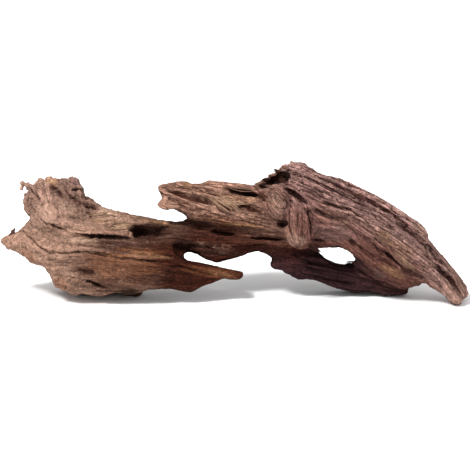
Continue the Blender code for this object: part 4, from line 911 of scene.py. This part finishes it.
# The loose fibres.
# Torn strands of the same wood on its front, at the rims of the hollows and along the splits. Each lies
# on the wood as the viewer sees it and bridges what is hollow.
# (x, z) of one end and of the other, how many, how far they stray, their width, and their tint.
STRANDS = [
    (182.3, 92.9, 201.2, 80.8, 8, 2.6, 1.0, "straw"), (188.3, 93.7, 206.4, 84.3, 7, 2.1, 0.9, "straw"),
    (184, 88.6, 197.8, 78.3, 6, 1.7, 0.9, "bark"), (185.8, 91.2, 199.5, 80, 5, 2.2, 0.9, "umber"),
    (96.3, 67.9, 114.4, 68.4, 9, 2.1, 1.0, "straw"), (98, 64.5, 113.5, 64.5, 6, 1.9, 1.0, "bark"),
    (101.5, 70.5, 115.2, 71.4, 5, 1.4, 0.9, "straw"), (194.4, 102.8, 221.9, 99.8, 4, 0.7, 1.0, "bark"),
    (220.2, 99.8, 227, 93.7, 5, 1.7, 1.2, "umber"), (185.8, 91.2, 215, 88.6, 6, 1.7, 1.1, "straw"),
    (203, 91.2, 225.3, 91.2, 5, 1.5, 1.0, "bark"), (228.8, 106.6, 221.4, 104.5, 3, 1.2, 2.2, "bark"),
    (232.2, 109.2, 225.3, 108.4, 3, 1.0, 2.4, "umber"), (237.4, 112.7, 230.5, 113.1, 3, 1.0, 2.4, "bark"),
    (242.5, 115.2, 236.1, 117, 3, 1.0, 2.4, "umber"), (248.5, 118.2, 242.5, 120.4, 3, 0.9, 2.1, "bark"),
    (225.3, 103.2, 242.5, 100.6, 5, 1.2, 1.2, "bark"), (239.1, 111.8, 247.7, 104.9, 5, 1.4, 1.2, "umber"),
    (264.9, 52.5, 275.2, 46.4, 4, 1.2, 1.4, "umber"), (307.9, 36.5, 297.6, 37.8, 2, 0.3, 1.7, "umber"),
    (396.5, 22.4, 402.5, 15.5, 2, 0.3, 0.6, "bark"), (342.3, 44.7, 356, 31, 6, 2.1, 1.0, "straw"),
    (337.1, 48.2, 350.9, 34.4, 5, 2.1, 1.0, "bark"), (319.9, 65.4, 337.1, 48.2, 5, 2.6, 0.9, "bark"),
    (77.4, 80.8, 103.2, 77.4, 7, 3.4, 0.9, "straw"),
]
STRAND_SEED = 5
STRAND_SIDES = 5
STRAND_STEPS = 9
# How far strands bow to the side, for their length, and how far they sink in, for their thickness.
STRAND_BOW = 0.09
STRAND_SINK = 0.25
# Thinnest and thickest strands, and darkest and lightest ones, for what the row says.
STRAND_THICKNESS = (0.6, 1.1)
STRAND_SHADES = (0.65, 1.15)
# The part of a half wave that a strand's thickness follows from end to end, and its power.
TAPER_WAVE = (0.04, 0.97)
TAPER_POWER = 0.7
# A direction that no strand runs in, to turn the tubes by.
ASIDE = (0.0, 1.0, 0.2)
# Side of a square of the map of the wood's front, in millimetres, and the squares left round it.
MAP_CELL = 1.3
MAP_MARGIN = 10


def front_map(places, depths, low):
    """The least depth of the points in each square of a grid over the view, nan in an empty square."""
    squares = ((places - low) / MAP_CELL).astype(int)
    front = np.full(squares.max(0) + 1 + MAP_MARGIN, np.inf)
    np.minimum.at(front, tuple(squares.T), depths)
    front[np.isinf(front)] = np.nan
    return front


def tapered_tubes(courses, radii):
    """A closed tube round each course: rings of points, their radius a power of a half wave along it."""
    count, steps = courses.shape[:2]
    ahead = unit(np.gradient(courses, axis=1))
    side = unit(np.cross(ahead, ASIDE))
    up = np.cross(side, ahead)
    turn = np.linspace(0, 2 * np.pi, STRAND_SIDES, endpoint=False)[:, None]
    round_it = np.cos(turn) * side[:, :, None] + np.sin(turn) * up[:, :, None]
    thickness = np.sin(np.pi * np.linspace(*TAPER_WAVE, steps)) ** TAPER_POWER
    skin = courses[:, :, None] + round_it * (radii[:, None] * thickness)[:, :, None, None]
    ring = np.arange(steps * STRAND_SIDES).reshape(steps, STRAND_SIDES)
    beside = np.roll(ring, -1, axis=1)
    walls = np.stack([ring[:-1], ring[1:], beside[1:], beside[:-1]], -1).reshape(-1, 4)
    ends = np.stack([ring[0], ring[-1][::-1]])
    first = np.arange(count)[:, None, None] * steps * STRAND_SIDES
    faces = (first + walls).reshape(-1, 4).tolist() + (first + ends).reshape(-1, STRAND_SIDES).tolist()
    return skin.reshape(-1, 3), faces


# Their courses over the view: straight runs that bow to the side, by the sine of the way along.
rows = [row for row in STRANDS for _ in range(row[4])]
loose = np.random.default_rng(STRAND_SEED)
stray = np.array([row[5] for row in rows])
ends = np.array([row[:4] for row in rows]) + loose.uniform(-1, 1, (len(rows), 4)) * stray[:, None]
start, run = ends[:, :2], ends[:, 2:] - ends[:, :2]
share = np.linspace(0, 1, STRAND_STEPS)
bow = loose.uniform(-STRAND_BOW, STRAND_BOW, len(rows))[:, None] * np.sin(np.pi * share)
flat = start[:, None] + share[:, None] * run[:, None] + bow[..., None] * (run[:, ::-1] * (-1, 1))[:, None]
radii = 0.5 * np.array([row[6] for row in rows]) * loose.uniform(*STRAND_THICKNESS, len(rows))

# Their depth: straight from end to end, and in front of the wood everywhere.
map_low = seen.min(0) - MAP_MARGIN * MAP_CELL
front = front_map(seen, points[:, 1], map_low)
squares = ((flat - map_low) / MAP_CELL).astype(int)
met = front[squares[..., 0], squares[..., 1]]
usual = np.nanmedian(met, axis=1)
outset, finish = (np.where(np.isnan(met[:, k]), usual, met[:, k])[:, None] for k in (0, -1))
depth = np.fmin(outset + share * (finish - outset), met) - STRAND_SINK * radii[:, None]
away = 1 + depth[..., None] / VIEW_DISTANCE
wide = VIEW_CENTRE[[0, 2]] + (flat - VIEW_CENTRE[[0, 2]]) * away
courses = np.stack([wide[..., 0], depth, wide[..., 1]], -1)
tubes, faces = tapered_tubes(courses, radii)
fibres = placed("loose_fibres", bpy.data.meshes.new("loose_fibres"))
fibres.data.from_pydata(to_world(tubes).tolist(), [], faces)

shades = np.array([TINTS[row[7]] for row in rows]) * loose.uniform(*STRAND_SHADES, len(rows))[:, None]
ways = unit((courses[:, -1] - courses[:, 0]) @ LEANED.T)
shades, ways = (np.repeat(values, STRAND_STEPS * STRAND_SIDES, axis=0) for values in (shades, ways))
paint(fibres.data, shades, ways, np.zeros(len(tubes)), np.zeros(len(tubes)))
fibres.data.shade_smooth()
fibres.data.materials.append(wood_material)
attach(fibres, "root")

# The floor and the light.
# A pale matt floor that runs out to the horizon, an even white sky, one broad soft lamp from the front
# left above and a weak wide one from the right.
FLOOR_SIZE = 60.0
FLOOR_COLOUR = (0.9, 0.9, 0.9, 1.0)
FLOOR_ROUGHNESS = 0.9
SKY_WHITE = (1.0, 1.0, 1.0, 1.0)
SKY_STRENGTH = 0.8
# Where each lamp is and its size, in metres, and its power in watts. Both point at the wood's middle.
LAMPS = {"key": ((-0.9, -1.2, 1.9), 0.6, 105.0), "fill": ((1.4, -1.2, 0.9), 1.2, 8.0)}
WOOD_MIDDLE = (0.0, 0.0, 0.05)

floor_mesh = bpy.data.meshes.new("floor")
half = FLOOR_SIZE / 2
corners = [(-half, -half, 0), (half, -half, 0), (half, half, 0), (-half, half, 0)]
floor_mesh.from_pydata(corners, [], [(0, 1, 2, 3)])
floor = placed("floor", floor_mesh)
floor_material = Nodes("pale_floor")
floor_material.shader.inputs["Base Color"].default_value = FLOOR_COLOUR
floor_material.shader.inputs["Roughness"].default_value = FLOOR_ROUGHNESS
floor_mesh.materials.append(floor_material.material)

world = bpy.data.worlds.new("studio")
world.use_nodes = True
sky = world.node_tree.nodes["Background"].inputs
sky["Color"].default_value = SKY_WHITE
sky["Strength"].default_value = SKY_STRENGTH
bpy.context.scene.world = world
for name, (place, size, power) in LAMPS.items():
    lamp = placed(name, bpy.data.lights.new(name, "AREA"))
    lamp.data.size = size
    lamp.data.energy = power
    lamp.location = place
    lamp.rotation_euler = (Vector(WOOD_MIDDLE) - Vector(place)).to_track_quat("-Z", "Y").to_euler()
bpy.context.scene.view_settings.view_transform = "Standard"
